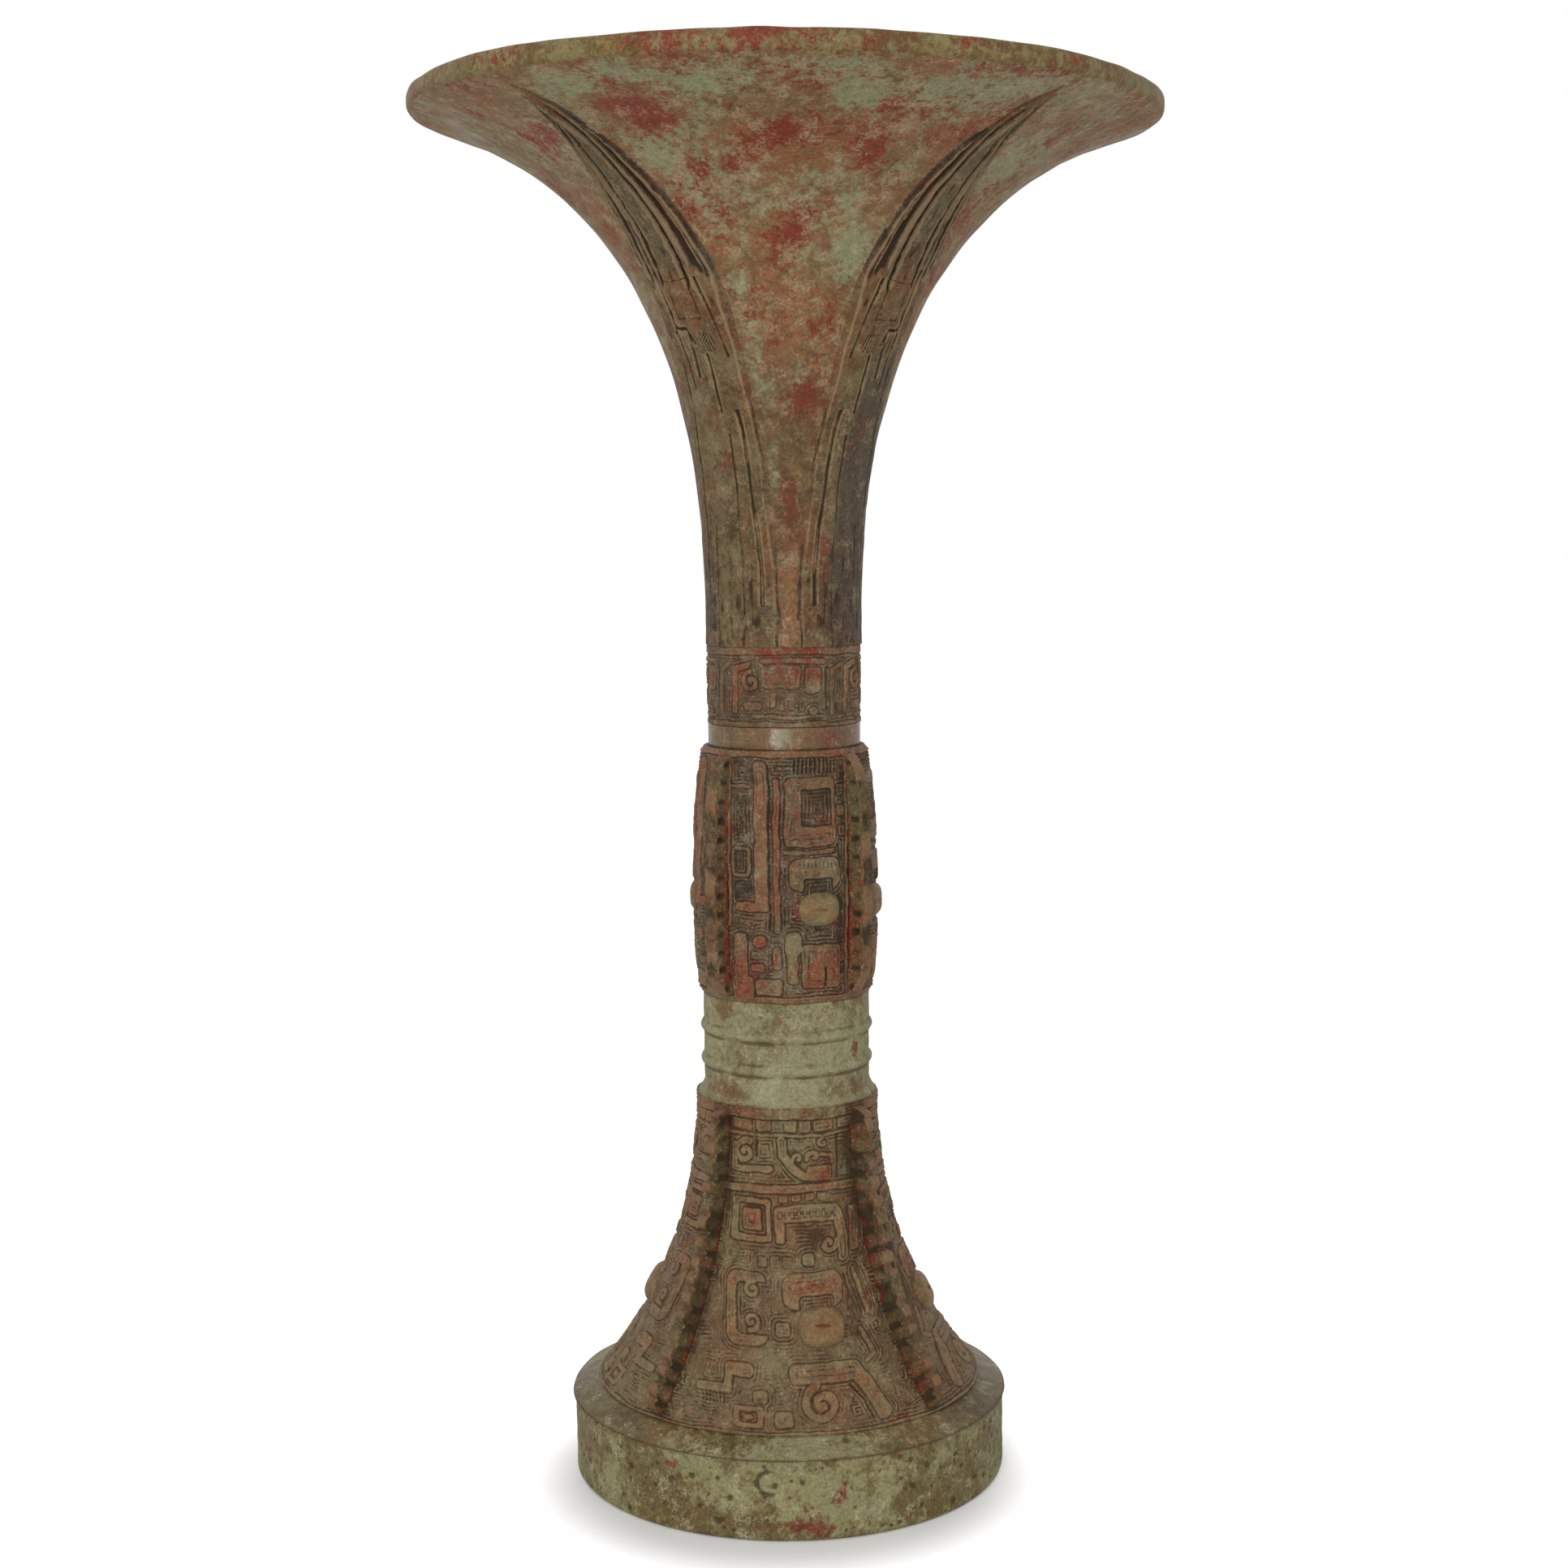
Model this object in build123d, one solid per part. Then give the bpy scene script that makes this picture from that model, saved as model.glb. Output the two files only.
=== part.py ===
"""Bronze gu: a slender wine beaker with a trumpet mouth, a masked waist and a flared, stepped foot.

The vessel is made in sections that spigot into one another at its plain bands. The notched
flanges and the eye bosses are cast apart and tenoned into the waist and the foot.
Sizes are in millimetres, Z is up, and the origin is on the ground, on the axis.
The front panel faces -Y, and the flanges stand at 45 degrees to it.
"""
import os

from build123d import *

# Fits between the sections
FIT_CLEARANCE = 0.05
END_GAP = 0.2

# Bore of the cup, from the floor to the root of the flare
CUP_BORE = 14.5
SPIGOT_WALL = 1.5

# Foot ring: the plain upright plinth
RING_RADIUS = 48.0
RING_WALL = 3.4
RING_HEIGHT = 17.5

# Foot: sloped shoulder, flared panel and string band
SHOULDER_OVERHANG = 0.6
SHOULDER_EDGE = 1.3
SHOULDER_RISE = 2.6
SHOULDER_SEAT_WALL = 2.4
SHOULDER_SEAT_DEPTH = 4.0
FOOT_WALL = 3.0
FLARE_FOOT_RADIUS = 41.3
FLARE_TOP_STEP = 1.3
FLARE_TOP_RUN = 2.4
FLARE_HEIGHT = 63.6
FLARE_SLOPE = 50.0
FLARE_TOP_HANDLE = 25.0
FLARE_FOOT_HANDLE = 20.0
BAND_WALL = 2.35
BAND_HEIGHT = 22.7
STRING_HEIGHTS = (7.6, 15.0)
STRING_WIDTH = 2.6
STRING_CREST = 0.9
STRING_PROUD = 0.6

# Joint of the foot, the cup floor and the waist
FOOT_SPIGOT_HEIGHT = 8.3
FLOOR_THICKNESS = 2.2

# Waist: the bulged sleeve that carries the masks
WAIST_HEIGHT = 54.4
WAIST_FOOT_WALL = 2.95
WAIST_BULGE_WALL = 3.85
WAIST_TOP_WALL = 2.15
WAIST_BULGE_HEIGHT = 20.5

# Trumpet: collar, neck band, neck and flaring mouth
TRUMPET_SPIGOT_LENGTH = 12.0
COLLAR_WALL = 2.2
COLLAR_HEIGHT = 5.0
NECK_BAND_WALL = 2.7
NECK_BAND_HEIGHT = 17.0
NECK_WALL = 2.3
NECK_HEIGHT = 5.8
MOUTH_RADIUS = 80.1
MOUTH_HEIGHT = 105.95
MOUTH_SLOPE = 42.0
MOUTH_NECK_HANDLE = 98.0
MOUTH_LIP_HANDLE = 5.3
LIP_HEIGHT = 4.15
LIP_PROUD = 1.1
LIP_CHAMFER = 0.7

# Rising leaf blades on the trumpet: half widths at heights above the neck band, and the tip
BLADE_PROUD = 0.8
BLADE_SINK = 0.5
BLADE_FOOT = (10.6, 1.5)
BLADE_WAIST = (9.6, 40.0)
BLADE_BELLY = (10.2, 75.0)
BLADE_SHOULDER = (7.5, 100.0)
BLADE_TIP = 111.2

# Notched flanges
FLANGE_THICKNESS = 3.2
FLANGE_PROUD = 4.5
FLANGE_TENON = 1.2
FLANGE_END = 1.0
FLANGE_END_SLOPE = 1.6
NOTCH_WIDTH = 1.3
NOTCH_DEPTH = 1.9
WAIST_NOTCHES = 13
FOOT_NOTCHES = 16

# Eye bosses: width and height, and place as degrees across the panel and share down the wall
EYE_PEG_RADIUS = 1.1
EYE_PEG_DEPTH = 1.0
EYE_SEAT_DEPTH = 0.7
EYE_BEVEL = 0.9
EYE_SLIT_DEPTH = 0.5
WAIST_EYE = (9.2, 7.4)
WAIST_EYE_PROUD = 1.7
WAIST_EYE_PLACE = (18.7, 0.623)
FOOT_EYE = (10.2, 9.0)
FOOT_EYE_PROUD = 2.1
FOOT_EYE_PLACE = (11.1, 0.673)

# Mask relief on the panels
RELIEF_PROUD = 0.8
RELIEF_SINK = 0.5

# Heights of the steps, from the ground up
Z_SHOULDER = RING_HEIGHT
Z_FLARE = Z_SHOULDER + SHOULDER_EDGE + SHOULDER_RISE
Z_BAND = Z_FLARE + FLARE_HEIGHT
Z_WAIST = Z_BAND + BAND_HEIGHT
Z_FLOOR = Z_WAIST + FOOT_SPIGOT_HEIGHT
Z_CUP = Z_FLOOR + FLOOR_THICKNESS
Z_COLLAR = Z_WAIST + WAIST_HEIGHT
Z_SPIGOT = Z_COLLAR - TRUMPET_SPIGOT_LENGTH
Z_NECK_BAND = Z_COLLAR + COLLAR_HEIGHT
Z_NECK = Z_NECK_BAND + NECK_BAND_HEIGHT
Z_MOUTH = Z_NECK + NECK_HEIGHT
Z_LIP = Z_MOUTH + MOUTH_HEIGHT
Z_TOP = Z_LIP + LIP_HEIGHT

# Radii that the fits share
SPIGOT_RADIUS = CUP_BORE + SPIGOT_WALL
SOCKET_RADIUS = SPIGOT_RADIUS + FIT_CLEARANCE
BAND_RADIUS = SPIGOT_RADIUS + BAND_WALL
FLARE_TOP_RADIUS = BAND_RADIUS + FLARE_TOP_STEP
RING_BORE = RING_RADIUS - RING_WALL

FLANGE_ANGLES = {"front_right": 45, "back_right": 135, "back_left": 225, "front_left": 315}
PANEL_ANGLES = {"front": 0, "right": 90, "back": 180, "left": 270}


def along(degrees):
    """Unit vector in the outline plane at an angle above the level."""
    return Vector(1, 0).rotate(Axis.Z, degrees)


def outline_face(*curves):
    """Face on the upright XZ plane, closed by the given run of curves."""
    edges = [edge for curve in curves for edge in curve.edges()]
    return Plane.XZ * make_face(edges)


def turned(*curves):
    """Solid of revolution about the axis of the vessel."""
    return revolve(outline_face(*curves), axis=Axis.Z)


def ends(curve):
    """First and last point of a curve."""
    return curve @ 0, curve @ 1


def flare_curve(offset=0.0):
    """Wall of the foot from the string band down to the shoulder, moved outwards by offset."""
    top = Vector(FLARE_TOP_RADIUS + offset, Z_BAND)
    foot = Vector(FLARE_FOOT_RADIUS, Z_FLARE) + along(90 - FLARE_SLOPE) * offset
    top_handle = top - Vector(0, FLARE_TOP_HANDLE)
    foot_handle = foot + along(180 - FLARE_SLOPE) * FLARE_FOOT_HANDLE
    return Bezier(top, top_handle, foot_handle, foot)


def waist_curve(offset=0.0):
    """Bulged wall of the waist, from its top down to its foot, moved outwards by offset."""
    reach = SOCKET_RADIUS + offset
    foot = (reach + WAIST_FOOT_WALL, Z_WAIST)
    bulge = (reach + WAIST_BULGE_WALL, Z_WAIST + WAIST_BULGE_HEIGHT)
    top = (reach + WAIST_TOP_WALL, Z_COLLAR)
    return ThreePointArc(top, bulge, foot)


def mouth_curve(offset=0.0):
    """Trumpet wall from the neck up to the lip, moved outwards by offset."""
    neck = Vector(CUP_BORE + NECK_WALL + offset, Z_MOUTH)
    lip = Vector(MOUTH_RADIUS - LIP_PROUD, Z_LIP) + along(MOUTH_SLOPE - 90) * offset
    neck_handle = neck + Vector(0, MOUTH_NECK_HANDLE)
    lip_handle = lip - along(MOUTH_SLOPE) * MOUTH_LIP_HANDLE
    return Bezier(neck, neck_handle, lip_handle, lip)


def shell_between(inner, outer):
    """Turned skin between two offset copies of one wall curve."""
    inner_start, inner_end = ends(inner)
    outer_start, outer_end = ends(outer)
    return turned(inner, Line(inner_end, outer_end), outer, Line(outer_start, inner_start))


def stamped(sketch, skin):
    """Raised pads: a flat outline facing -Y, pressed outwards through a turned skin."""
    return extrude(Plane.XZ * sketch, amount=MOUTH_RADIUS) & skin


def pad(left, low, right, high):
    """Upright rectangle by its lower left and upper right corners."""
    return Pos((left + right) / 2, (low + high) / 2) * Rectangle(right - left, high - low)


def plate(*corners):
    """Flat outline by its corners."""
    return make_face(Polyline(*corners, close=True).edges())


def on_panels(front_solid):
    """The front panel's solid on all four panels, mirrored from one panel to the next."""
    mirrored = mirror(front_solid, about=Plane.YZ)
    return {
        name: Rot(Z=angle) * (front_solid if angle % 180 == 0 else mirrored)
        for name, angle in PANEL_ANGLES.items()
    }


def solids_of(shape):
    """Separate solids of a shape, as a list."""
    return list(shape.solids())


def waist_mask():
    """Half mask of the front waist panel, its nose at the right-hand flange."""
    horn = pad(-0.6, 35.0, 10.2, 49.4) - pad(2.7, 38.8, 8.4, 46.6) - pad(8.3, 38.8, 10.3, 41.8)
    brow = plate((0, 27.2), (0, 30.4), (1.8, 32.4), (8.6, 32.4), (11.0, 29.8), (11.0, 27.2))
    pocket = pad(2.6, 27.1, 8.8, 28.6)
    jaw = plate((2.0, 5.0), (2.0, 11.6), (3.6, 13.2), (9.6, 13.2), (11.2, 11.4), (11.2, 2.4), (2.8, 2.4))
    jaw_slit = pad(7.2, 2.3, 8.2, 8.2)
    body = pad(-8.0, 20.2, -4.5, 52.0) + pad(-11.3, 20.2, -7.9, 22.8)
    claw = pad(-11.3, 1.4, -8.3, 16.0) + pad(-11.9, 1.4, -6.2, 4.6)
    tongue = plate((-0.9, 12.4), (0.2, 15.4), (1.5, 15.4), (2.2, 12.4), (1.4, 4.6), (-0.4, 4.6))
    dot = Pos(-6.4, 14.0) * RegularPolygon(1.8, 8)
    mask = horn + (brow - pocket) + (jaw + tongue - jaw_slit) + body + claw + dot
    return Pos(Y=Z_WAIST) * mask


def foot_mask():
    """Half mask of the front foot panel, with the dragon register above it."""
    dragon_tail = pad(-13.0, 52.2, -4.4, 58.6) - pad(-11.0, 55.0, -9.4, 57.0) - pad(-8.3, 55.0, -7.4, 58.7)
    dragon_head = plate((0.0, 49.8), (-1.6, 53.0), (-0.6, 55.0), (3.2, 53.0), (3.2, 49.8))
    dragon_snout = pad(4.0, 49.8, 9.6, 54.0) + pad(5.8, 54.0, 8.4, 57.4)
    horn = plate((-4.6, 36.8), (-4.6, 44.1), (9.0, 44.1), (11.4, 42.0), (11.4, 34.0), (8.2, 34.0), (8.2, 36.8))
    horn_pocket = pad(-2.4, 36.7, 8.2, 40.8)
    body = pad(-13.0, 36.4, -5.4, 43.8)
    brow = plate((-2.4, 22.6), (-2.4, 27.8), (-0.8, 29.2), (7.4, 29.2), (10.8, 25.0), (10.8, 22.6))
    brow_pocket = pad(1.2, 22.5, 8.4, 25.0)
    ear = plate((-13.4, 15.2), (-15.0, 17.0), (-15.0, 28.2), (-13.4, 29.7), (-8.0, 29.7), (-6.3, 28.0),
                (-6.3, 17.0), (-8.0, 15.2))
    ear_gap = pad(-11.6, 22.2, -6.2, 24.0)
    claw = plate((-19.0, 8.7), (-19.0, 12.2), (-10.6, 12.2), (-9.6, 11.2), (-9.6, 9.6), (-10.6, 8.7))
    jaw = plate((-2.0, 8.4), (-2.0, 11.0), (-1.0, 12.0), (12.4, 11.6), (15.6, 2.0), (12.4, 2.0), (11.0, 7.0))
    scroll = plate((1.6, 4.0), (3.6, 7.6), (8.4, 7.6), (9.8, 5.2), (8.6, 2.0), (3.4, 2.0))
    stud = pad(-13.4, 0.8, -7.4, 4.4)
    dragons = dragon_tail + dragon_head + dragon_snout
    face = (horn - horn_pocket) + body + (brow - brow_pocket) + (ear - ear_gap) + claw + jaw + scroll + stud
    return Pos(Y=Z_FLARE) * (dragons + face)


def blade_outline():
    """Leaf blade standing on the neck band and pointing up to the lip."""
    half_points = [BLADE_FOOT, BLADE_WAIST, BLADE_BELLY, BLADE_SHOULDER, (0.0, BLADE_TIP)]
    right = Spline([(x, Z_NECK + z) for x, z in half_points])
    left = Spline([(-x, Z_NECK + z) for x, z in half_points])
    foot = Line(left @ 0, right @ 0)
    return make_face([right.edge(), left.edge(), foot.edge()])


def flange_outline(inner, outer):
    """Upright outline of a flange between its root and edge curves, with sloped ends."""
    low_root, high_root = sorted(ends(inner), key=lambda point: point.Y)
    low_edge, high_edge = sorted(ends(outer), key=lambda point: point.Y)
    return outline_face(inner, Line(high_root, high_edge), outer, Line(low_edge, low_root))


def flange_plate(inner, outer, thickness):
    """Plate of a flange, standing in the XZ plane on the +X side."""
    return extrude(flange_outline(inner, outer), amount=thickness / 2, both=True)


def notch_cutters(edge_curve, count):
    """Square notches at even steps along the free edge of a flange."""
    cutters = []
    for index in range(count):
        share = (index + 0.5) / count
        point = edge_curve @ share
        heading = edge_curve % share
        place = Plane((point.X, 0, point.Y), x_dir=(heading.X, 0, heading.Y), z_dir=(0, -1, 0))
        cutters.append(place * Box(NOTCH_WIDTH, 2 * NOTCH_DEPTH, 2 * FLANGE_THICKNESS))
    return cutters


def trimmed_flange(plate, z_low, z_high, reach):
    """Cut the ends of a flange plate to a height, sloping back towards its free edge."""
    slope = FLANGE_END_SLOPE
    outline = Polyline(
        (0, z_low),
        (reach, z_low),
        (2 * reach, z_low + slope * 4),
        (2 * reach, z_high - slope * 4),
        (reach, z_high),
        (0, z_high),
        close=True,
    )
    return plate & extrude(outline_face(outline), amount=FLANGE_THICKNESS, both=True)


def waist_flange(extra=0.0):
    """Notched flange of the waist; extra widens and deepens it to cut its slot."""
    root = waist_curve(-FLANGE_TENON - extra)
    edge = waist_curve(FLANGE_PROUD)
    plate = flange_plate(root, edge, FLANGE_THICKNESS + 2 * extra)
    low = Z_WAIST + FLANGE_END - extra
    high = Z_COLLAR - FLANGE_END + extra
    blank = trimmed_flange(plate, low, high, SOCKET_RADIUS + WAIST_BULGE_WALL)
    return blank if extra else blank - notch_cutters(edge, WAIST_NOTCHES)


def foot_flange(extra=0.0):
    """Notched flange of the foot, following the flare; extra as for the waist."""
    root = flare_curve(-FLANGE_TENON - extra)
    edge = flare_curve(FLANGE_PROUD)
    plate = flange_plate(root, edge, FLANGE_THICKNESS + 2 * extra)
    low = Z_FLARE + FLANGE_END - extra
    high = Z_BAND - FLANGE_END + extra
    blank = plate & Pos(Z=(low + high) / 2) * Box(4 * RING_RADIUS, 4 * RING_RADIUS, high - low)
    return blank if extra else blank - notch_cutters(edge, FOOT_NOTCHES)


def eye_boss(size, proud, place, wall):
    """Eye boss on a flat seat in the wall, with its slit and peg. Returns the boss and its pocket."""
    width, height = size
    angle, share = place
    point = wall @ share
    heading = wall % share
    outward = Vector(-heading.Y, 0, heading.X)
    seat = Plane((point.X, 0, point.Y), x_dir=(0, 1, 0), z_dir=outward).offset(-EYE_SEAT_DEPTH)
    rise = EYE_SEAT_DEPTH + proud
    plan = RectangleRounded(width, height, height * 0.36)
    boss = extrude(plan, amount=rise)
    boss = chamfer(boss.faces().sort_by(Axis.Z)[-1].edges(), EYE_BEVEL)
    slit = Pos(Z=rise) * Box(width * 0.3, height * 0.1, 2 * EYE_SLIT_DEPTH)
    peg = extrude(Circle(EYE_PEG_RADIUS), amount=-EYE_PEG_DEPTH)
    pocket = extrude(offset(plan, FIT_CLEARANCE), amount=2 * rise)
    hole = extrude(Circle(EYE_PEG_RADIUS + FIT_CLEARANCE), amount=-EYE_PEG_DEPTH - END_GAP)
    to_front = Rot(Z=angle - 90) * seat.location
    return to_front * (boss + peg - slit), to_front * (pocket + hole)


def round_flanges(solid):
    """Copies of a flange, or of its slot, at the four flange places."""
    return {name: Rot(Z=angle - 90) * solid for name, angle in FLANGE_ANGLES.items()}


def make_foot_ring():
    """Plain ring that the vessel stands on."""
    outline = Polyline(
        (RING_BORE, 0),
        (RING_RADIUS, 0),
        (RING_RADIUS, RING_HEIGHT),
        (RING_BORE, RING_HEIGHT),
        close=True,
    )
    return turned(outline)


def make_foot(slots, eye_pockets):
    """Foot: seat in the ring, sloped shoulder, flared mask panel, string band and spigot."""
    wall_out = flare_curve()
    wall_in = flare_curve(-FOOT_WALL)
    seat_out = RING_BORE - FIT_CLEARANCE
    seat_in = seat_out - SHOULDER_SEAT_WALL
    edge_radius = RING_RADIUS + SHOULDER_OVERHANG
    shoulder = Polyline(
        wall_in @ 1,
        (seat_in, Z_SHOULDER),
        (seat_in, Z_SHOULDER - SHOULDER_SEAT_DEPTH),
        (seat_out, Z_SHOULDER - SHOULDER_SEAT_DEPTH),
        (seat_out, Z_SHOULDER),
        (edge_radius, Z_SHOULDER),
        (edge_radius, Z_SHOULDER + SHOULDER_EDGE),
        wall_out @ 1,
    )
    band = [(FLARE_TOP_RADIUS, Z_BAND), (BAND_RADIUS, Z_BAND + FLARE_TOP_RUN)]
    strings = []
    for height in STRING_HEIGHTS:
        low = (BAND_RADIUS, Z_BAND + height - STRING_WIDTH / 2)
        crest_low = (BAND_RADIUS + STRING_PROUD, Z_BAND + height - STRING_CREST / 2)
        crest_high = (BAND_RADIUS + STRING_PROUD, Z_BAND + height + STRING_CREST / 2)
        high = (BAND_RADIUS, Z_BAND + height + STRING_WIDTH / 2)
        strings.append(Polyline(band[-1], low, crest_low, crest_high, high))
        band.append(high)
    spigot = Polyline(
        band[-1],
        (BAND_RADIUS, Z_WAIST),
        (SPIGOT_RADIUS, Z_WAIST),
        (SPIGOT_RADIUS, Z_FLOOR),
        (CUP_BORE, Z_FLOOR),
        (CUP_BORE, Z_WAIST),
        wall_in @ 0,
    )
    step = Line(band[0], band[1])
    body = turned(wall_out, step, *strings, spigot, wall_in, shoulder)
    skin = shell_between(flare_curve(-RELIEF_SINK), flare_curve(RELIEF_PROUD))
    relief = on_panels(stamped(foot_mask(), skin)).values()
    pads = [solid for panel in relief for solid in solids_of(panel)]
    return body + pads - slots - eye_pockets


def make_cup_floor():
    """Disc that closes the cup, held between the foot's spigot and the waist's ledge."""
    return Pos(Z=Z_FLOOR) * Cylinder(
        SPIGOT_RADIUS, FLOOR_THICKNESS, align=(Align.CENTER, Align.CENTER, Align.MIN)
    )


def make_waist(slots, eye_pockets):
    """Waist sleeve with its two sockets, its inner ledge and its masks."""
    wall = waist_curve()
    wall_top, wall_foot = ends(wall)
    bore = Polyline(
        wall_top,
        (SOCKET_RADIUS, Z_COLLAR),
        (SOCKET_RADIUS, Z_SPIGOT - END_GAP),
        (CUP_BORE, Z_SPIGOT - END_GAP),
        (CUP_BORE, Z_CUP),
        (SOCKET_RADIUS, Z_CUP),
        (SOCKET_RADIUS, Z_WAIST),
        wall_foot,
    )
    body = turned(wall, bore)
    skin = shell_between(waist_curve(-RELIEF_SINK), waist_curve(RELIEF_PROUD))
    relief = on_panels(stamped(waist_mask(), skin)).values()
    pads = [solid for panel in relief for solid in solids_of(panel)]
    return body + pads - slots - eye_pockets


def make_trumpet():
    """Trumpet: spigot, collar, neck band, flaring mouth with its lip, and the four blades."""
    wall_out = mouth_curve()
    wall_in = mouth_curve(-NECK_WALL)
    inner_lip = wall_in @ 1
    lip = Polyline(
        wall_out @ 1,
        (MOUTH_RADIUS, Z_LIP + LIP_CHAMFER),
        (MOUTH_RADIUS, Z_TOP - LIP_CHAMFER),
        (MOUTH_RADIUS - LIP_CHAMFER, Z_TOP),
        (inner_lip.X + LIP_CHAMFER, Z_TOP),
        inner_lip,
    )
    neck = Polyline(
        wall_in @ 0,
        (CUP_BORE, Z_SPIGOT),
        (SPIGOT_RADIUS, Z_SPIGOT),
        (SPIGOT_RADIUS, Z_COLLAR),
        (CUP_BORE + COLLAR_WALL, Z_COLLAR),
        (CUP_BORE + COLLAR_WALL, Z_NECK_BAND),
        (CUP_BORE + NECK_BAND_WALL, Z_NECK_BAND),
        (CUP_BORE + NECK_BAND_WALL, Z_NECK),
        (CUP_BORE + NECK_WALL, Z_NECK),
        wall_out @ 0,
    )
    body = turned(neck, wall_out, lip, wall_in)
    skin = shell_between(mouth_curve(-BLADE_SINK), mouth_curve(BLADE_PROUD))
    blade = stamped(blade_outline(), skin)
    return body + [Rot(Z=angle) * blade for angle in FLANGE_ANGLES.values()]


waist_flanges = round_flanges(waist_flange())
foot_flanges = round_flanges(foot_flange())
waist_slots = list(round_flanges(waist_flange(FIT_CLEARANCE)).values())
foot_slots = list(round_flanges(foot_flange(FIT_CLEARANCE)).values())

waist_boss, waist_pocket = eye_boss(WAIST_EYE, WAIST_EYE_PROUD, WAIST_EYE_PLACE, waist_curve())
foot_boss, foot_pocket = eye_boss(FOOT_EYE, FOOT_EYE_PROUD, FOOT_EYE_PLACE, flare_curve())

nodes = {
    "trumpet": make_trumpet(),
    "waist": make_waist(waist_slots, list(on_panels(waist_pocket).values())),
    "cup_floor": make_cup_floor(),
    "foot": make_foot(foot_slots, list(on_panels(foot_pocket).values())),
    "foot_ring": make_foot_ring(),
}
nodes.update({f"waist_flange_{name}": solid for name, solid in waist_flanges.items()})
nodes.update({f"foot_flange_{name}": solid for name, solid in foot_flanges.items()})
nodes.update({f"waist_eye_{name}": solid for name, solid in on_panels(waist_boss).items()})
nodes.update({f"foot_eye_{name}": solid for name, solid in on_panels(foot_boss).items()})

os.makedirs("parts", exist_ok=True)
for name, solid in nodes.items():
    export_step(solid, f"parts/{name}.step")
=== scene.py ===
import math

import bpy
import numpy as np
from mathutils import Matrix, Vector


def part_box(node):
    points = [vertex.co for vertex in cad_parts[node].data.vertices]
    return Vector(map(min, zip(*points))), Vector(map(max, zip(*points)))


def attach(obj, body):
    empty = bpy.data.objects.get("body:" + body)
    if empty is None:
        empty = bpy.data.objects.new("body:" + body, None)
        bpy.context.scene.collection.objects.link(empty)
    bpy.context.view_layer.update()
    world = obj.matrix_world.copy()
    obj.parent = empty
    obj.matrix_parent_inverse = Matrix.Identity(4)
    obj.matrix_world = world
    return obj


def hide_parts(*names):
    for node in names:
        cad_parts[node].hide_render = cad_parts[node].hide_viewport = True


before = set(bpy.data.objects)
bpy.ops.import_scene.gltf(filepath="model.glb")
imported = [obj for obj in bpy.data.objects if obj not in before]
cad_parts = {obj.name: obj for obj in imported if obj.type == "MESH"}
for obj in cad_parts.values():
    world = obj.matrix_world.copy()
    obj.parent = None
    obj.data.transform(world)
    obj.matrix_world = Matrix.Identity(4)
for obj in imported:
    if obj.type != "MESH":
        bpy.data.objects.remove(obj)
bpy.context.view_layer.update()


# Foot ring
# The plain upright hoop that the vessel stands on: cast bronze, smooth outside and in, under a pale
# green crust with pits and red specks. The seat of the foot drops into its bore.

MM = 0.001
RING_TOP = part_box("foot_ring")[1][2] / MM
RING_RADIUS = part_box("foot_ring")[1][0] / MM
RING_BORE = RING_RADIUS - 3.4
RING_EDGE = 1.5
RING_COLUMNS = 900
RING_STEP = 0.26
RING_PITS = 640
PIT_SEED = 11
PIT_SIZES = (0.22, 0.8)
PIT_DEPTHS = (0.08, 0.36)
PIT_DIRT = 1.6
CASTING_MARK_ANGLE = -7.4
CASTING_MARK_HEIGHT = 12.6
CASTING_MARK_RADIUS = 2.4
CASTING_MARK_WIDTH = 0.4
CASTING_MARK_DEPTH = 0.45
CASTING_MARK_DIRT = 1.2


def tone(red, green, blue):
    """A colour as a screen shows it, 0 to 255, in the linear values that a shader takes."""
    shown = np.array([red, green, blue]) / 255
    linear = np.where(shown <= 0.04045, shown / 12.92, ((shown + 0.055) / 1.055) ** 2.4)
    return (*map(float, linear), 1.0)


def section_line(corners, step):
    """Points along a wall's section. A corner is (radius, height, rounding), in millimetres."""
    marks = [np.array(corners[0][:2], float)]
    for before, here, after in zip(corners, corners[1:], corners[2:]):
        corner = np.array(here[:2], float)
        arrive = np.array(before[:2], float) - corner
        leave = np.array(after[:2], float) - corner
        arrive *= min(here[2] / np.linalg.norm(arrive), 0.5)
        leave *= min(here[2] / np.linalg.norm(leave), 0.5)
        for turn in np.linspace(0, 1, 7) if here[2] else [0.5]:
            marks.append(corner + arrive * (1 - turn) ** 2 + leave * turn ** 2)
    marks.append(np.array(corners[-1][:2], float))
    line = [marks[0]]
    for start, end in zip(marks, marks[1:]):
        count = max(1, math.ceil(np.linalg.norm(end - start) / step))
        line.extend(start + (end - start) * k / count for k in range(1, count + 1))
    return np.array(line)


def outward(line, closed):
    """Unit normals of a section line, on the right of the way it runs."""
    if closed:
        ahead = np.roll(line, -1, 0) - np.roll(line, 1, 0)
    else:
        ahead = np.gradient(line, axis=0)
    normal = np.stack([ahead[:, 1], -ahead[:, 0]], 1)
    return normal / np.linalg.norm(normal, axis=1, keepdims=True)


def turned(line, angles, rise, side=None):
    """Grid of points: the section line moved out by rise along its side and turned through the angles."""
    if side is None:
        side = outward(line, True)
    radius = line[:, :1] + side[:, :1] * rise
    height = line[:, 1:] + side[:, 1:] * rise + 0 * angles
    return np.stack([radius * np.sin(angles), -radius * np.cos(angles), height], 2)


def full_turn(columns):
    """Even angles once round, one to a column."""
    return np.radians(np.arange(columns) * 360 / columns)


def around(radius, angles, *levels):
    """Coordinates round the vessel's axis, for a random field that has no seam."""
    return (radius * np.sin(angles), radius * np.cos(angles), *levels)


def wrapped(turn):
    """An angle brought to within half a turn of 0."""
    return (turn + math.pi) % (2 * math.pi) - math.pi


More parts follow.
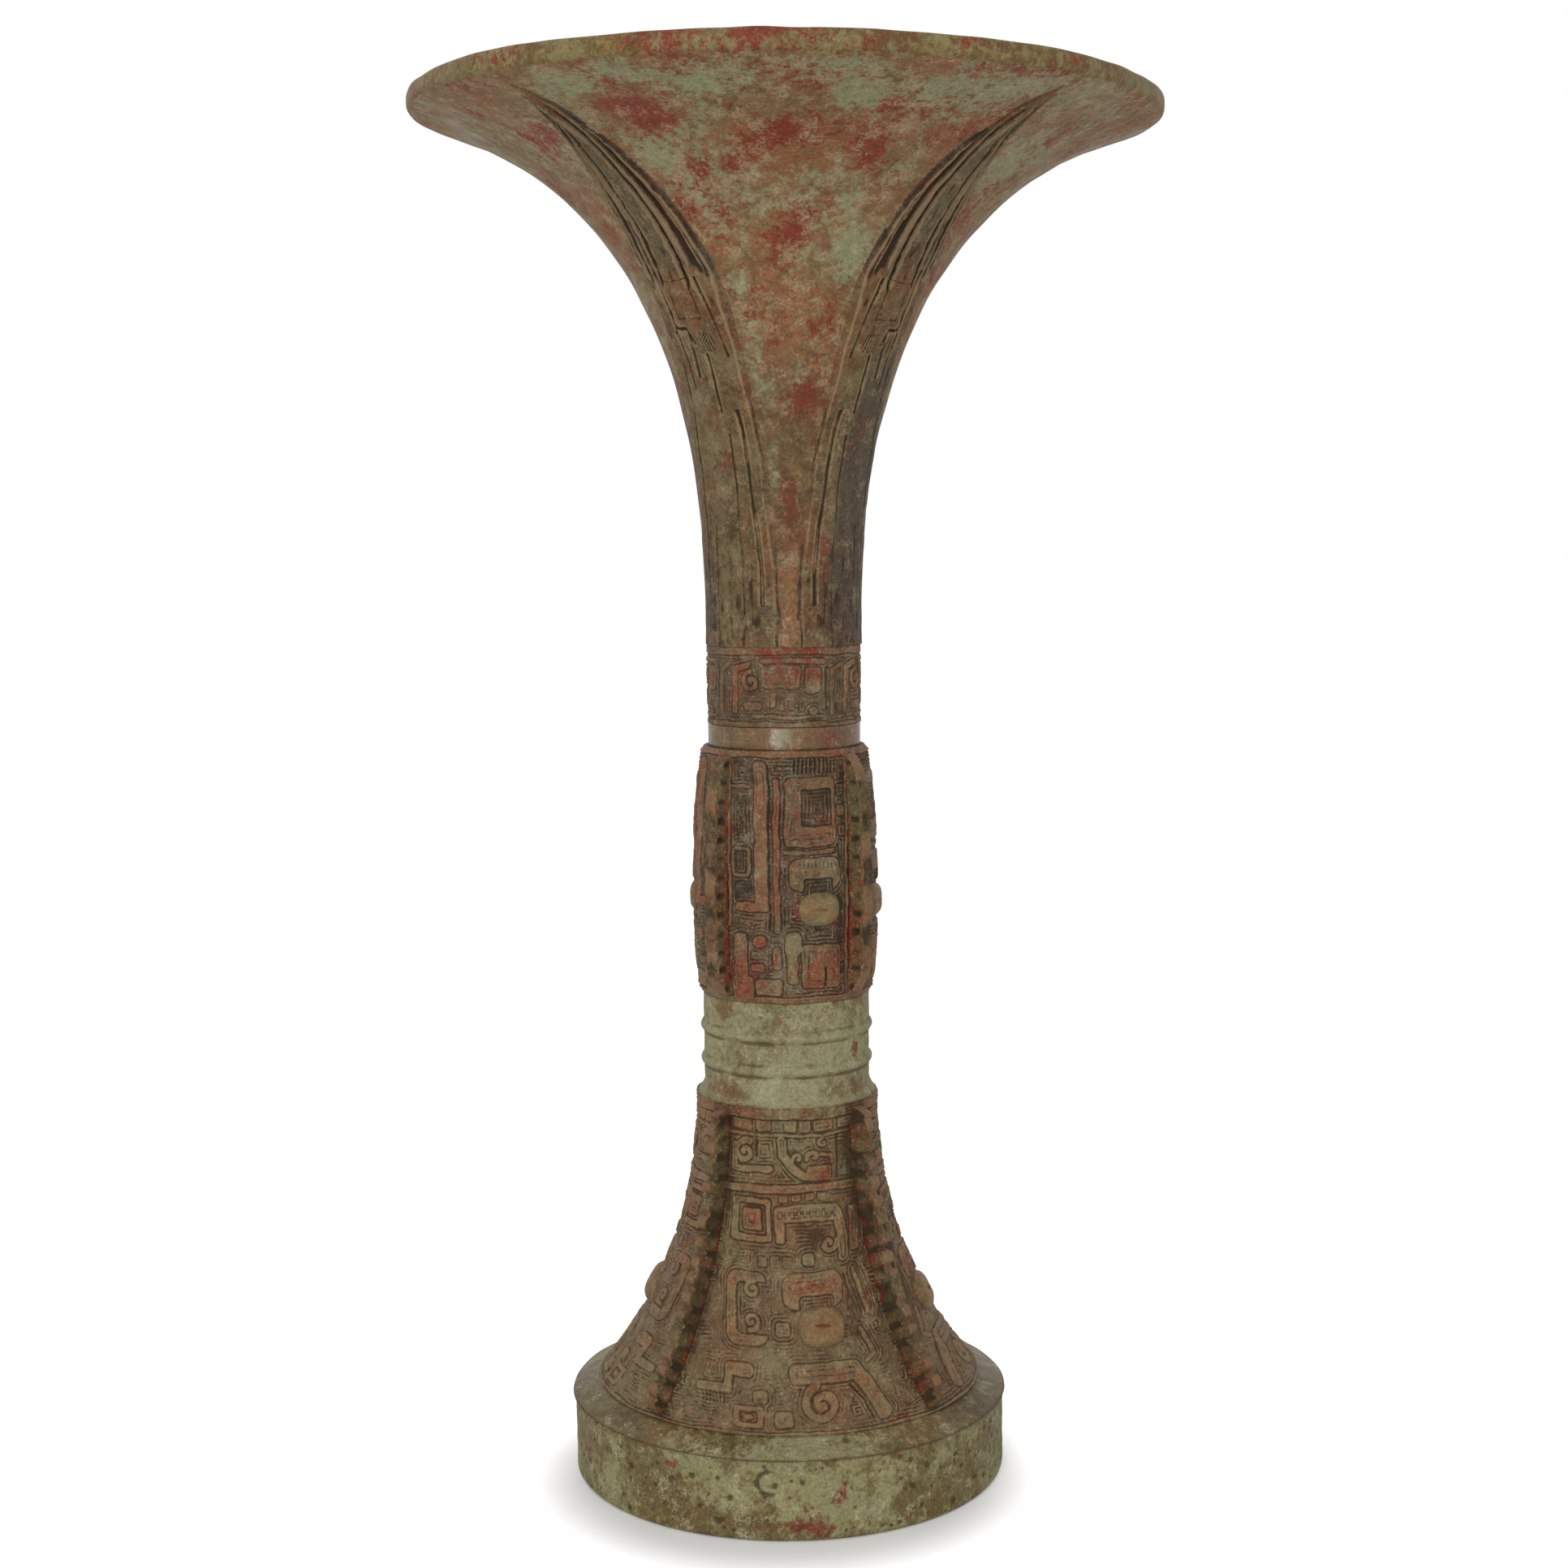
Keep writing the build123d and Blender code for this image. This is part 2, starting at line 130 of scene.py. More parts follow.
def close_to(value, place, width):
    """1 where the value is at the place, falling softly to 0 over about the width."""
    return np.exp(-(((value - place) / width) ** 2))


def wander(coords, length, seed):
    """Even random field, mean 0 and spread about 1, with features of about the given length."""
    waves = 28
    draws = np.random.default_rng(seed)
    field = 0.0
    for wave in range(waves):
        heading = draws.normal(size=len(coords))
        heading *= draws.uniform(0.35, 1.0) * 2 * math.pi / (length * np.linalg.norm(heading))
        phase = draws.uniform(0, 2 * math.pi)
        field = field + np.cos(sum(pace * coord for pace, coord in zip(heading, coords)) + phase)
    return field * math.sqrt(2 / waves)


def grid_piece(name, points, material, rows_closed, columns_closed, masks):
    """Solid piece from a grid of points in millimetres, with its masks as vertex attributes."""
    rows, columns = points.shape[:2]
    index = np.arange(rows * columns).reshape(rows, columns)
    row_count = rows if rows_closed else rows - 1
    column_count = columns if columns_closed else columns - 1
    i, j = (part.ravel() for part in np.mgrid[0:row_count, 0:column_count])
    up = (i + 1) % rows
    right = (j + 1) % columns
    quads = np.stack([index[i, j], index[i, right], index[up, right], index[up, j]], 1)
    caps = []
    if not columns_closed:
        caps = [index[:, 0], index[::-1, -1]]
    elif not rows_closed:
        caps = [index[0, ::-1], index[-1]]
    corners = np.concatenate([quads.ravel(), *caps])
    sizes = np.array([4] * len(quads) + [len(cap) for cap in caps])
    mesh = bpy.data.meshes.new(name)
    mesh.vertices.add(rows * columns)
    mesh.vertices.foreach_set("co", (points * MM).ravel())
    mesh.loops.add(len(corners))
    mesh.loops.foreach_set("vertex_index", corners.astype(np.int32))
    mesh.polygons.add(len(sizes))
    mesh.polygons.foreach_set("loop_start", (np.cumsum(sizes) - sizes).astype(np.int32))
    mesh.update(calc_edges=True)
    mesh.shade_smooth()
    # The UV chart: the grid as a square, with a strip at each side for a cap.
    cap_share = 0.03
    cap_fill = 0.8 * cap_share
    tiny = 0.001
    across = np.stack([j, j + 1, j + 1, j], 1).ravel() / column_count
    along = np.stack([i, i, i + 1, i + 1], 1).ravel() / row_count
    chart = [np.stack([cap_share + across * (1 - 2 * cap_share), along], 1)]
    flat = points.reshape(-1, 3)
    for number, cap in enumerate(caps):
        reach = np.hypot(flat[cap, 0], flat[cap, 1])
        level = flat[cap, 2]
        side = (reach - reach.min()) / max(np.ptp(reach), tiny) * cap_fill
        rise = (level - level.min()) / max(np.ptp(level), tiny)
        chart.append(np.stack([number * (1 - cap_share) + side, rise], 1))
    layer = mesh.uv_layers.new(name="OFBake")
    layer.uv.foreach_set("vector", np.concatenate(chart).astype(np.float32).ravel())
    for label, mask in masks.items():
        spread = np.broadcast_to(mask, (rows, columns)).astype(np.float32)
        mesh.attributes.new(label, "FLOAT", "POINT").data.foreach_set("value", spread.ravel())
    mesh.materials.append(material)
    piece = bpy.data.objects.new(name, mesh)
    bpy.context.scene.collection.objects.link(piece)
    return piece


def spots(angles, heights, places):
    """Soft patches, listed one by one: each is (degrees, height, half width, half height, strength)."""
    cover = np.zeros(np.broadcast(angles, heights).shape)
    for degrees, height, wide, tall, strength in places:
        turn = (np.degrees(angles) - degrees + 180) % 360 - 180
        cover = cover + strength * np.exp(-((turn / wide) ** 2) - ((heights - height) / tall) ** 2)
    return cover


def shade_node(tree, kind, inputs, **settings):
    """A shader node with its settings made, its inputs linked or set."""
    made = tree.nodes.new("ShaderNode" + kind)
    for key, value in settings.items():
        setattr(made, key, value)
    for key, value in inputs.items():
        if isinstance(value, bpy.types.NodeSocket):
            tree.links.new(value, made.inputs[key])
        else:
            made.inputs[key].default_value = value
    return made


def ramp(tree, value, low, high, first=0.0, last=1.0, kind="SMOOTHSTEP"):
    """Value taken from the range low to high onto first to last, and held at the ends."""
    inputs = {"Value": value, "From Min": low, "From Max": high, "To Min": first, "To Max": last}
    return shade_node(tree, "MapRange", inputs, interpolation_type=kind).outputs["Result"]


def combine(tree, operation, first, second):
    """Two values put together by one operation."""
    return shade_node(tree, "Math", {0: first, 1: second}, operation=operation).outputs[0]


def blend(tree, mask, first, second, kind="MIX"):
    """The first colour where the mask is 0 and the second where it is 1."""
    inputs = {0: mask, 6: first, 7: second}
    return shade_node(tree, "Mix", inputs, data_type="RGBA", blend_type=kind).outputs[2]


def clouds(tree, place, size, detail, rough, seed, swirl=0.0):
    """Noise spread over 0 to 1, with features of about the size in millimetres."""
    away = (seed, 0.7 * seed, -0.4 * seed)
    moved = shade_node(tree, "VectorMath", {0: place, 1: away}, operation="ADD").outputs[0]
    inputs = {
        "Vector": moved,
        "Scale": 1 / (size * MM),
        "Detail": detail,
        "Roughness": rough,
        "Distortion": swirl,
    }
    noise = shade_node(tree, "TexNoise", inputs, noise_dimensions="3D")
    return ramp(tree, noise.outputs[0], 0.3, 0.7, kind="LINEAR")


def crust(tree, spread, place, asked, size, soft, seed):
    """Patches with dabbed edges, which cover more as more is asked: none at 0, half at 0.5, all at 1."""
    dab_share = 0.54
    broad = clouds(tree, spread, size, 3, 0.5, seed)
    dabs = clouds(tree, place, size / 6.5, 6, 0.68, seed + 0.37, 0.5)
    broad = combine(tree, "MULTIPLY", broad, 1 - dab_share)
    dabs = combine(tree, "MULTIPLY", dabs, dab_share)
    level = combine(tree, "ADD", broad, dabs)
    low = combine(tree, "SUBTRACT", 1.0, soft)
    high = combine(tree, "ADD", 1.0, soft)
    return ramp(tree, combine(tree, "ADD", level, asked), low, high)


def vertex_mask(tree, label):
    """A mask that the mesh carries on its vertices; 0 on a piece without it."""
    return shade_node(tree, "Attribute", {}, attribute_name=label).outputs["Fac"]


def shade_group(name, takes, gives):
    """An empty node group with named inputs and outputs."""
    tree = bpy.data.node_groups.new(name, "ShaderNodeTree")
    for label, value in takes.items():
        kind = "NodeSocketColor" if isinstance(value, tuple) else "NodeSocketFloat"
        tree.interface.new_socket(label, in_out="INPUT", socket_type=kind).default_value = value
    for label in gives:
        kind = "NodeSocketColor" if label == "Color" else "NodeSocketFloat"
        tree.interface.new_socket(label, in_out="OUTPUT", socket_type=kind)
    entry = tree.nodes.new("NodeGroupInput")
    leave = tree.nodes.new("NodeGroupOutput")
    return tree, entry.outputs, leave.inputs


# Patina: olive bronze clouded with a darker shade, under ragged crusts of brown, green and red with
# small pale flecks and glints. The spots masks of a mesh ask for more of a crust, or for less, where
# it was laid.
patina_takes = {
    "Ground": tone(116, 98, 72),
    "Shade": tone(92, 74, 54),
    "Warm": tone(118, 82, 58),
    "Green": tone(138, 132, 104),
    "Red": tone(104, 60, 44),
    "Pale": tone(156, 138, 112),
    "Warm Cover": 0.4,
    "Green Cover": 0.35,
    "Red Cover": 0.3,
    "Pale Cover": 0.3,
    "Breadth": 1.0,
    "Softness": 0.12,
    "Glint": 0.15,
}
patina, take, give = shade_group("bronze_patina", patina_takes, ("Color", "Crust", "Grain"))
place = shade_node(patina, "TexCoord", {}).outputs["Object"]
fine = clouds(patina, place, 2.6, 5, 0.66, 1.3, 0.3)
grit = clouds(patina, place, 0.62, 3, 0.6, 2.6)
shrunk = combine(patina, "DIVIDE", 1.0, take["Breadth"])
spread = shade_node(patina, "VectorMath", {0: place, "Scale": shrunk}, operation="SCALE").outputs[0]
layered = blend(patina, fine, take["Shade"], take["Ground"])
crusts = {}
for label, mask, size, seed in (
    ("Warm", "warm_spots", 9.0, 3.1),
    ("Green", "green_spots", 12.0, 4.7),
    ("Red", "red_spots", 10.0, 7.9),
):
    asked = combine(patina, "ADD", take[label + " Cover"], vertex_mask(patina, mask))
    crusts[label] = crust(patina, spread, place, asked, size, take["Softness"], seed)
    layered = blend(patina, crusts[label], layered, take[label])
flecks = crust(patina, place, place, take["Pale Cover"], 4.0, 0.12, 11.2)
layered = blend(patina, combine(patina, "MULTIPLY", flecks, 0.6), layered, take["Pale"])
# Painted glints: near-white specks put into the colour as small highlights, as much as the Glint input
# asks.
painted_glints = ramp(patina, clouds(patina, place, 0.5, 2, 0.5, 13.4), 0.84, 0.96)
layered = blend(patina, combine(patina, "MULTIPLY", painted_glints, take["Glint"]), layered, tone(206, 200, 184))
speckle = ramp(patina, grit, 0.0, 1.0, 0.76, 1.2, "LINEAR")
cloudy = ramp(patina, fine, 0.0, 1.0, 0.82, 1.14, "LINEAR")
mottle = combine(patina, "MULTIPLY", speckle, cloudy)
patina.links.new(blend(patina, 1.0, layered, mottle, "MULTIPLY"), give["Color"])
patina.links.new(crusts["Green"], give["Crust"])
patina.links.new(combine(patina, "ADD", combine(patina, "MULTIPLY", grit, 0.4), fine), give["Grain"])

# Burial earth, painted shade and wear: dark earth caught in hollows, the same dark also painted as shade
# in creases, under edges and beside raised parts, and rubbed bronze on the crests.
earth_takes = {
    "Color": tone(110, 95, 70),
    "Soil And Shade": tone(52, 42, 30),
    "Metal": tone(132, 100, 70),
    "Darkening Cover": 0.75,
    "Wear": 0.35,
}
earth, take, give = shade_group("earth_shade_and_wear", earth_takes, ("Color", "Darkening"))
place = shade_node(earth, "TexCoord", {}).outputs["Object"]
patchy = clouds(earth, place, 2.2, 5, 0.7, 5.5, 0.3)
loose = ramp(earth, patchy, 0.0, 1.0, -0.32, 0.32, "LINEAR")
darkening = ramp(earth, combine(earth, "ADD", vertex_mask(earth, "hollow"), loose), 0.15, 0.85)
darkening = combine(earth, "MULTIPLY", darkening, take["Darkening Cover"])
rubbed = ramp(earth, combine(earth, "SUBTRACT", vertex_mask(earth, "crest"), loose), 0.2, 0.8)
rubbed = combine(earth, "MULTIPLY", rubbed, take["Wear"])
worn = blend(earth, rubbed, take["Color"], take["Metal"])
earth.links.new(blend(earth, darkening, worn, take["Soil And Shade"]), give["Color"])
earth.links.new(darkening, give["Darkening"])


# A faint brown cast over all the colours, and the height of the grain in metres.
AGED_TINT = (1.0, 0.97, 0.92, 1.0)
GRAIN_HEIGHT = 0.0004


def bronze(name, face, floor=None, earth_shade_settings=None, rough=(0.5, 0.72), bump=0.45, gloss=0.15):
    """Bronze with its patina: face is the plain or raised surface, floor the ground of its carving or, on
    the blades, their dark and painted-shade parts.
    """
    material = bpy.data.materials.new(name)
    material.use_nodes = True
    tree = material.node_tree
    shader = tree.nodes["Principled BSDF"]
    skin = shade_node(tree, "Group", face, node_tree=patina)
    colour = skin.outputs["Color"]
    if floor:
        sunk = shade_node(tree, "Group", floor, node_tree=patina)
        lifted = ramp(tree, vertex_mask(tree, "relief"), 0.25, 0.75)
        colour = blend(tree, lifted, sunk.outputs["Color"], colour)
    darkened_and_worn = shade_node(tree, "Group", {"Color": colour, **(earth_shade_settings or {})}, node_tree=earth)
    dull = combine(tree, "MAXIMUM", skin.outputs["Crust"], darkened_and_worn.outputs["Darkening"])
    tree.links.new(ramp(tree, dull, 0.0, 1.0, *rough, "LINEAR"), shader.inputs["Roughness"])
    shader.inputs["Specular IOR Level"].default_value = gloss
    aged = blend(tree, 1.0, darkened_and_worn.outputs["Color"], AGED_TINT, "MULTIPLY")
    tree.links.new(aged, shader.inputs["Base Color"])
    uneven = {"Height": skin.outputs["Grain"], "Strength": bump, "Distance": GRAIN_HEIGHT}
    grain = shade_node(tree, "Bump", uneven)
    tree.links.new(grain.outputs["Normal"], shader.inputs["Normal"])
    return material


pale_green = {
    "Ground": tone(118, 108, 72),
    "Shade": tone(98, 87, 54),
    "Warm": tone(102, 84, 49),
    "Green": tone(139, 135, 98),
    "Red": tone(112, 62, 42),
    "Pale": tone(172, 170, 140),
    "Warm Cover": 0.4,
    "Green Cover": 0.48,
    "Red Cover": 0.14,
    "Pale Cover": 0.3,
    "Softness": 0.16,
}
ring_soil = {"Soil And Shade": tone(64, 52, 34), "Darkening Cover": 0.8}
ring_bronze = bronze("ring_bronze", pale_green, earth_shade_settings=ring_soil)
ring_corners = [
    (RING_RADIUS, RING_TOP / 2, 0),
    (RING_RADIUS, RING_TOP, 0.2),
    (RING_BORE, RING_TOP, 0.2),
    (RING_BORE, 0, 0.7),
    (RING_RADIUS, 0, RING_EDGE),
    (RING_RADIUS, RING_TOP / 2, 0),
]
ring_line = section_line(ring_corners, RING_STEP)[:-1]
ring_angles = full_turn(RING_COLUMNS)
ring_levels = ring_line[:, 1:]
ring_outside = (ring_line[:, :1] > RING_RADIUS - 0.3).astype(float)
ring_coords = around(RING_RADIUS, ring_angles, ring_levels)
ring_dents = 0.09 * wander(ring_coords, 26, 1) + 0.05 * wander(ring_coords, 6, 2)
ring_dents = ring_dents + 0.03 * wander(ring_coords, 2.2, 3)
ring_rise = ring_dents * ring_outside * np.clip(np.minimum(ring_levels, RING_TOP - ring_levels) / 3, 0, 1)
ring_hollow = np.zeros_like(ring_rise)
pit_draws = np.random.default_rng(PIT_SEED)
for pit in range(RING_PITS):
    pit_turn = pit_draws.uniform(-math.pi, math.pi)
    pit_height = pit_draws.uniform(0.5, RING_TOP - 0.5)
    pit_size = PIT_SIZES[0] + (PIT_SIZES[1] - PIT_SIZES[0]) * pit_draws.uniform() ** 3
    pit_depth = pit_draws.uniform(*PIT_DEPTHS)
    pit_lean = pit_draws.uniform(-1, 1)
    away = wrapped(ring_angles - pit_turn) * RING_RADIUS
    above = ring_levels - pit_height
    close = np.exp(-(away ** 2 + above ** 2 + pit_lean * away * above) / pit_size ** 2) * ring_outside
    ring_rise -= pit_depth * close
    ring_hollow += close * pit_depth / PIT_DEPTHS[1] * PIT_DIRT
mark_across = wrapped(ring_angles - math.radians(CASTING_MARK_ANGLE)) * RING_RADIUS
mark_up = ring_levels - CASTING_MARK_HEIGHT
mark_width = CASTING_MARK_WIDTH + 0.12 * wander((mark_across, mark_up), 2.0, 5)
mark_ring = close_to(np.hypot(mark_across * 0.85, mark_up), CASTING_MARK_RADIUS, mark_width)
mark_ring = mark_ring * np.clip(0.7 - mark_across / CASTING_MARK_RADIUS, 0, 1) * ring_outside
ring_rise -= CASTING_MARK_DEPTH * mark_ring
ring_hollow += CASTING_MARK_DIRT * mark_ring
ring_reds = [
    (11, 11.6, 2.6, 2.4, 0.46),
    (9, 9.0, 3, 2, 0.34),
    (-10, 4.2, 4, 2, 0.32),
    (-1, 3.4, 6, 2, 0.31),
    (7, 2.6, 4, 2, 0.31),
    (-34, 14.4, 1.9, 1.1, 0.6),
    (-70, 10, 3, 4, 0.4),
    (24, 16.4, 4, 0.9, 0.5),
]
ring_greens = [
    (0, 9.5, 22, 6, 0.16),
    (-54, 9, 5, 7, 0.3),
    (-38, 8, 10, 6, -0.42),
    (30, 6, 7, 4, -0.35),
    (46, 8, 12, 8, -0.22),
    (-12, 4, 16, 2, -0.2),
]
ring_warms = [(-36, 6, 10, 6, 0.25), (28, 5, 7, 4, 0.3), (-12, 4, 14, 2, 0.2)]
ring_masks = {
    "hollow": np.clip(ring_hollow, 0, 1),
    "red_spots": spots(ring_angles, ring_levels, ring_reds),
    "green_spots": spots(ring_angles, ring_levels, ring_greens),
    "warm_spots": spots(ring_angles, ring_levels, ring_warms),
}
ring_points = turned(ring_line, ring_angles, ring_rise)
foot_ring = grid_piece("foot_ring_hoop", ring_points, ring_bronze, True, True, ring_masks)
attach(foot_ring, "root")
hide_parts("foot_ring")


# Foot shoulder
# The sloped step between the ring and the carved foot, cast with the foot: smooth bronze with a
# worn edge that hangs just past the ring, pale green in front with brown and dark patches at the sides.
# The edge is painted lighter, as wear and as a highlight, and painted shadow lies in a thin line
# under its overhang.

SHOULDER_RADIUS = RING_RADIUS + 0.6
SHOULDER_EDGE = 0.35
FLARE_FOOT = (42.4, 20.7)
FLARE_TOP = (19.65, 85.0)
FLARE_FOOT_HANDLE = (28.44, 36.72)
FLARE_TOP_HANDLE = (19.65, 60.0)
FOOT_WALL = 3.0
SEAT_DEPTH = 4.0
SEAT_WALL = 2.4
TURNED_COLUMNS = 360
turned_angles = full_turn(TURNED_COLUMNS)

shoulder_green = {
    **pale_green,
    "Ground": tone(110, 97, 58),
    "Shade": tone(84, 68, 39),
    "Warm": tone(114, 90, 54),
    "Green": tone(138, 134, 100),
    "Warm Cover": 0.3,
    "Green Cover": 0.44,
    "Red Cover": 0.1,
}
shoulder_earth_shade_wear = {"Wear": 0.4, "Metal": tone(122, 100, 66), "Soil And Shade": tone(70, 56, 36)}
shoulder_shine = {"rough": (0.34, 0.52), "gloss": 0.14}
shoulder_bronze = bronze("shoulder_bronze", shoulder_green, earth_shade_settings=shoulder_earth_shade_wear, **shoulder_shine)
shoulder_corners = [
    (RING_BORE, RING_TOP, 0),
    (SHOULDER_RADIUS, RING_TOP, 0.25),
    (SHOULDER_RADIUS - 0.15, RING_TOP + SHOULDER_EDGE, 0.6),
    (FLARE_FOOT[0] - 0.6, FLARE_FOOT[1] + 0.2, 0.2),
    (FLARE_FOOT[0] - FOOT_WALL, FLARE_FOOT[1] - FOOT_WALL, 0),
    (RING_BORE - SEAT_WALL, RING_TOP, 0),
    (RING_BORE - SEAT_WALL, RING_TOP - SEAT_DEPTH, 0.2),
    (RING_BORE, RING_TOP - SEAT_DEPTH, 0.2),
    (RING_BORE, RING_TOP, 0),
]
shoulder_line = section_line(shoulder_corners, 0.5)[:-1]
shoulder_out, shoulder_levels = shoulder_line[:, :1], shoulder_line[:, 1:]
shoulder_edge = close_to(shoulder_out, SHOULDER_RADIUS, 0.7)
shoulder_overhang_shadow = close_to(shoulder_out, SHOULDER_RADIUS, 0.9) * close_to(shoulder_levels, RING_TOP, 0.5)
shoulder_wall = close_to(shoulder_out, FLARE_FOOT[0], 0.7)
shoulder_coords = around(SHOULDER_RADIUS, turned_angles)
shoulder_waves = 0.05 * wander(shoulder_coords, 22, 21) + 0.02 * wander(shoulder_coords, 6, 22)
shoulder_slope = (shoulder_levels > RING_TOP + 0.2) * (shoulder_out > FLARE_FOOT[0])
shoulder_reach = SHOULDER_RADIUS - shoulder_out
shoulder_warms = [
    (-36, 3, 8, 4, 0.5),
    (-27, 2, 5, 2, 0.25),
    (36, 4, 7, 4, 0.4),
    (28, 5, 8, 2, 0.4),
    (150, 3, 20, 9, 0.4),
]
shoulder_reds = [(-37, 3, 5, 4, 0.15), (78, 0.6, 6, 1.2, 0.6), (24, 2, 3, 2, 0.3)]
shoulder_greens = [(2, 3, 20, 9, 0.24), (64, 3, 22, 9, -0.4), (-62, 3, 24, 9, -0.4)]
shoulder_dark = spots(turned_angles, shoulder_reach, [(62, 3, 18, 9, 0.45)])
# Masks: the rim is lighter, as wear and as a painted highlight; a thin line of painted shadow lies under
# the overhang; the foot of the wall and a patch at the right are darker.
shoulder_masks = {
    "crest": shoulder_edge * (0.5 + 0.4 * wander(shoulder_coords, 12, 23)),
    "hollow": 0.45 * shoulder_wall + shoulder_overhang_shadow + shoulder_dark,
    "warm_spots": spots(turned_angles, shoulder_reach, shoulder_warms),
    "red_spots": spots(turned_angles, shoulder_reach, shoulder_reds),
    "green_spots": spots(turned_angles, shoulder_reach, shoulder_greens),
}
shoulder_rise = shoulder_waves * (shoulder_edge + 0.6 * shoulder_slope)
shoulder_points = turned(shoulder_line, turned_angles, shoulder_rise)
shoulder = grid_piece("foot_shoulder", shoulder_points, shoulder_bronze, True, True, shoulder_masks)
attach(shoulder, "root")
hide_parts("foot")


# Carved foot
# The flared wall of the foot in four quarters between the flanges: a dragon register over a half
# mask with horn, brow, ear and jaw. The relief is cast in the mould and its ground filled with fine
# lines; it is worn soft, earth stays in the lines and some raised faces are brown, olive or red. The
# same dark also paints shade in the lines and on the ground beside each flange.

CARVING_TOP = 0.58
THREAD_TOP = 0.24
THREAD_PITCH = 0.82
THREAD_REACH = 2.4
FACE_LINE = 0.13
FOOT_COLUMNS = 256
FOOT_STEP = 0.18
FOOT_BACK_STRIDE = 24
FLANGE_SHADE = 0.38
FLANGE_SHADE_REACH = 3.0
PANEL_TURNS = {"front": 0, "right": 90, "back": 180, "left": 270}
MIRRORED_PANELS = ("right", "left")


def cubic(start, start_handle, end_handle, end, count):
    """Points on a wall curve drawn with two handles."""
    t = np.linspace(0, 1, count)[:, None]
    ends = np.array(start) * (1 - t) ** 3 + np.array(end) * t ** 3
    drawn = ends + 3 * np.array(start_handle) * t * (1 - t) ** 2
    return drawn + 3 * np.array(end_handle) * t ** 2 * (1 - t)


def line_at(run, line, marks):
    """A line's two values at marks along its run."""
    return np.stack([np.interp(marks, run, line[:, k]) for k in (0, 1)], -1)


def evenly(curve, step):
    """A curve's points set at even steps along it, and how far along each lies."""
    run = np.concatenate([[0], np.cumsum(np.linalg.norm(np.diff(curve, axis=0), axis=1))])
    marks = np.linspace(0, run[-1], round(run[-1] / step) + 1)
    return line_at(run, curve, marks), marks


def slab(x, y, left, low, right, high, corner=0.3):
    """How far a point is outside a rectangle with rounded corners; negative inside."""
    across = np.abs(x - (left + right) / 2) - (right - left) / 2 + corner
    along = np.abs(y - (low + high) / 2) - (high - low) / 2 + corner
    beyond = np.hypot(np.maximum(across, 0), np.maximum(along, 0))
    return beyond + np.minimum(np.maximum(across, along), 0) - corner


def stroke(x, y, marks, half):
    """How far a point is outside a round-ended line of the given half width."""
    nearest = np.full(np.broadcast(x, y).shape, np.inf)
    for (ax, ay), (bx, by) in zip(marks, marks[1:]):
        length = (bx - ax) ** 2 + (by - ay) ** 2
        share = np.clip(((x - ax) * (bx - ax) + (y - ay) * (by - ay)) / length, 0, 1)
        nearest = np.minimum(nearest, np.hypot(x - ax - share * (bx - ax), y - ay - share * (by - ay)))
    return nearest - half


def coil(cx, cy, radius, turns, start, way):
    """Marks along a spiral that begins outside at an angle and winds in to its centre."""
    share = np.linspace(0, 1, 14 * math.ceil(turns) + 1)
    angle = np.radians(start) + way * 2 * math.pi * turns * share
    reach = radius * (1 - 0.88 * share)
    return list(zip(cx + reach * np.cos(angle), cy + reach * np.sin(angle)))


def inside(distance, edge):
    """1 inside an outline and 0 outside it, with a soft drafted edge."""
    share = np.clip(0.5 - distance / edge, 0, 1)
    return share * share * (3 - 2 * share)


def leiwen(x, y, cell, lines):
    """Squared spirals in cells, 1 on the raised thread and 0 in the groove."""
    column = np.floor(x / cell)
    row = np.floor(y / cell)
    a = (x / cell - column) * 2 - 1
    b = (y / cell - row) * 2 - 1
    handed = np.where((column + row) % 2 > 0, -1.0, 1.0)
    ring = np.maximum(np.abs(a), np.abs(b))
    turn = np.arctan2(b, a * handed) / (2 * math.pi)
    wave = 0.5 + 0.5 * np.cos(2 * math.pi * (ring * lines - turn))
    return np.clip(wave * 1.7 - 0.35, 0, 1)


def carved(ground, motifs, cuts, worn, faded):
    """Height of a carved wall: threads on the ground and round the motifs, then the motifs and cuts."""
    nearest = np.minimum.reduce([distance for distance, top in motifs])
    follow = 0.5 - 0.5 * np.cos(2 * math.pi * (nearest - 0.15) / THREAD_PITCH)
    beside = inside(nearest - THREAD_REACH, 0.8)
    height = THREAD_TOP * faded * (ground * (1 - beside) + follow * beside)
    for distance, top in motifs:
        height = height + (top - height) * inside(distance, 0.45)
    on_face = inside(nearest + 0.3, 0.3) * inside(-1.75 - nearest, 0.5)
    height = height - FACE_LINE * faded * (1 - follow) * on_face
    for distance, depth in cuts:
        height = height - depth * inside(distance, 0.24)
    return height * worn


def local_mean(height, reach):
    """Mean of a height field over a square of reach cells each way."""
    for axis in (0, 1):
        padded = np.pad(height, [(reach + 1, reach) if k == axis else (0, 0) for k in (0, 1)], mode="edge")
        total = np.cumsum(padded, axis=axis)
        span = 2 * reach + 1
        ahead = np.take(total, range(span, total.shape[axis]), axis=axis)
        behind = np.take(total, range(total.shape[axis] - span), axis=axis)
        height = (ahead - behind) / span
    return height


def blots(x, y, places):
    """Soft patches on a flat panel: each is (across, up, half width, half height, strength)."""
    cover = np.zeros(np.broadcast(x, y).shape)
    for across, up, wide, tall, strength in places:
        cover = cover + strength * np.exp(-(((x - across) / wide) ** 2) - ((y - up) / tall) ** 2)
    return cover


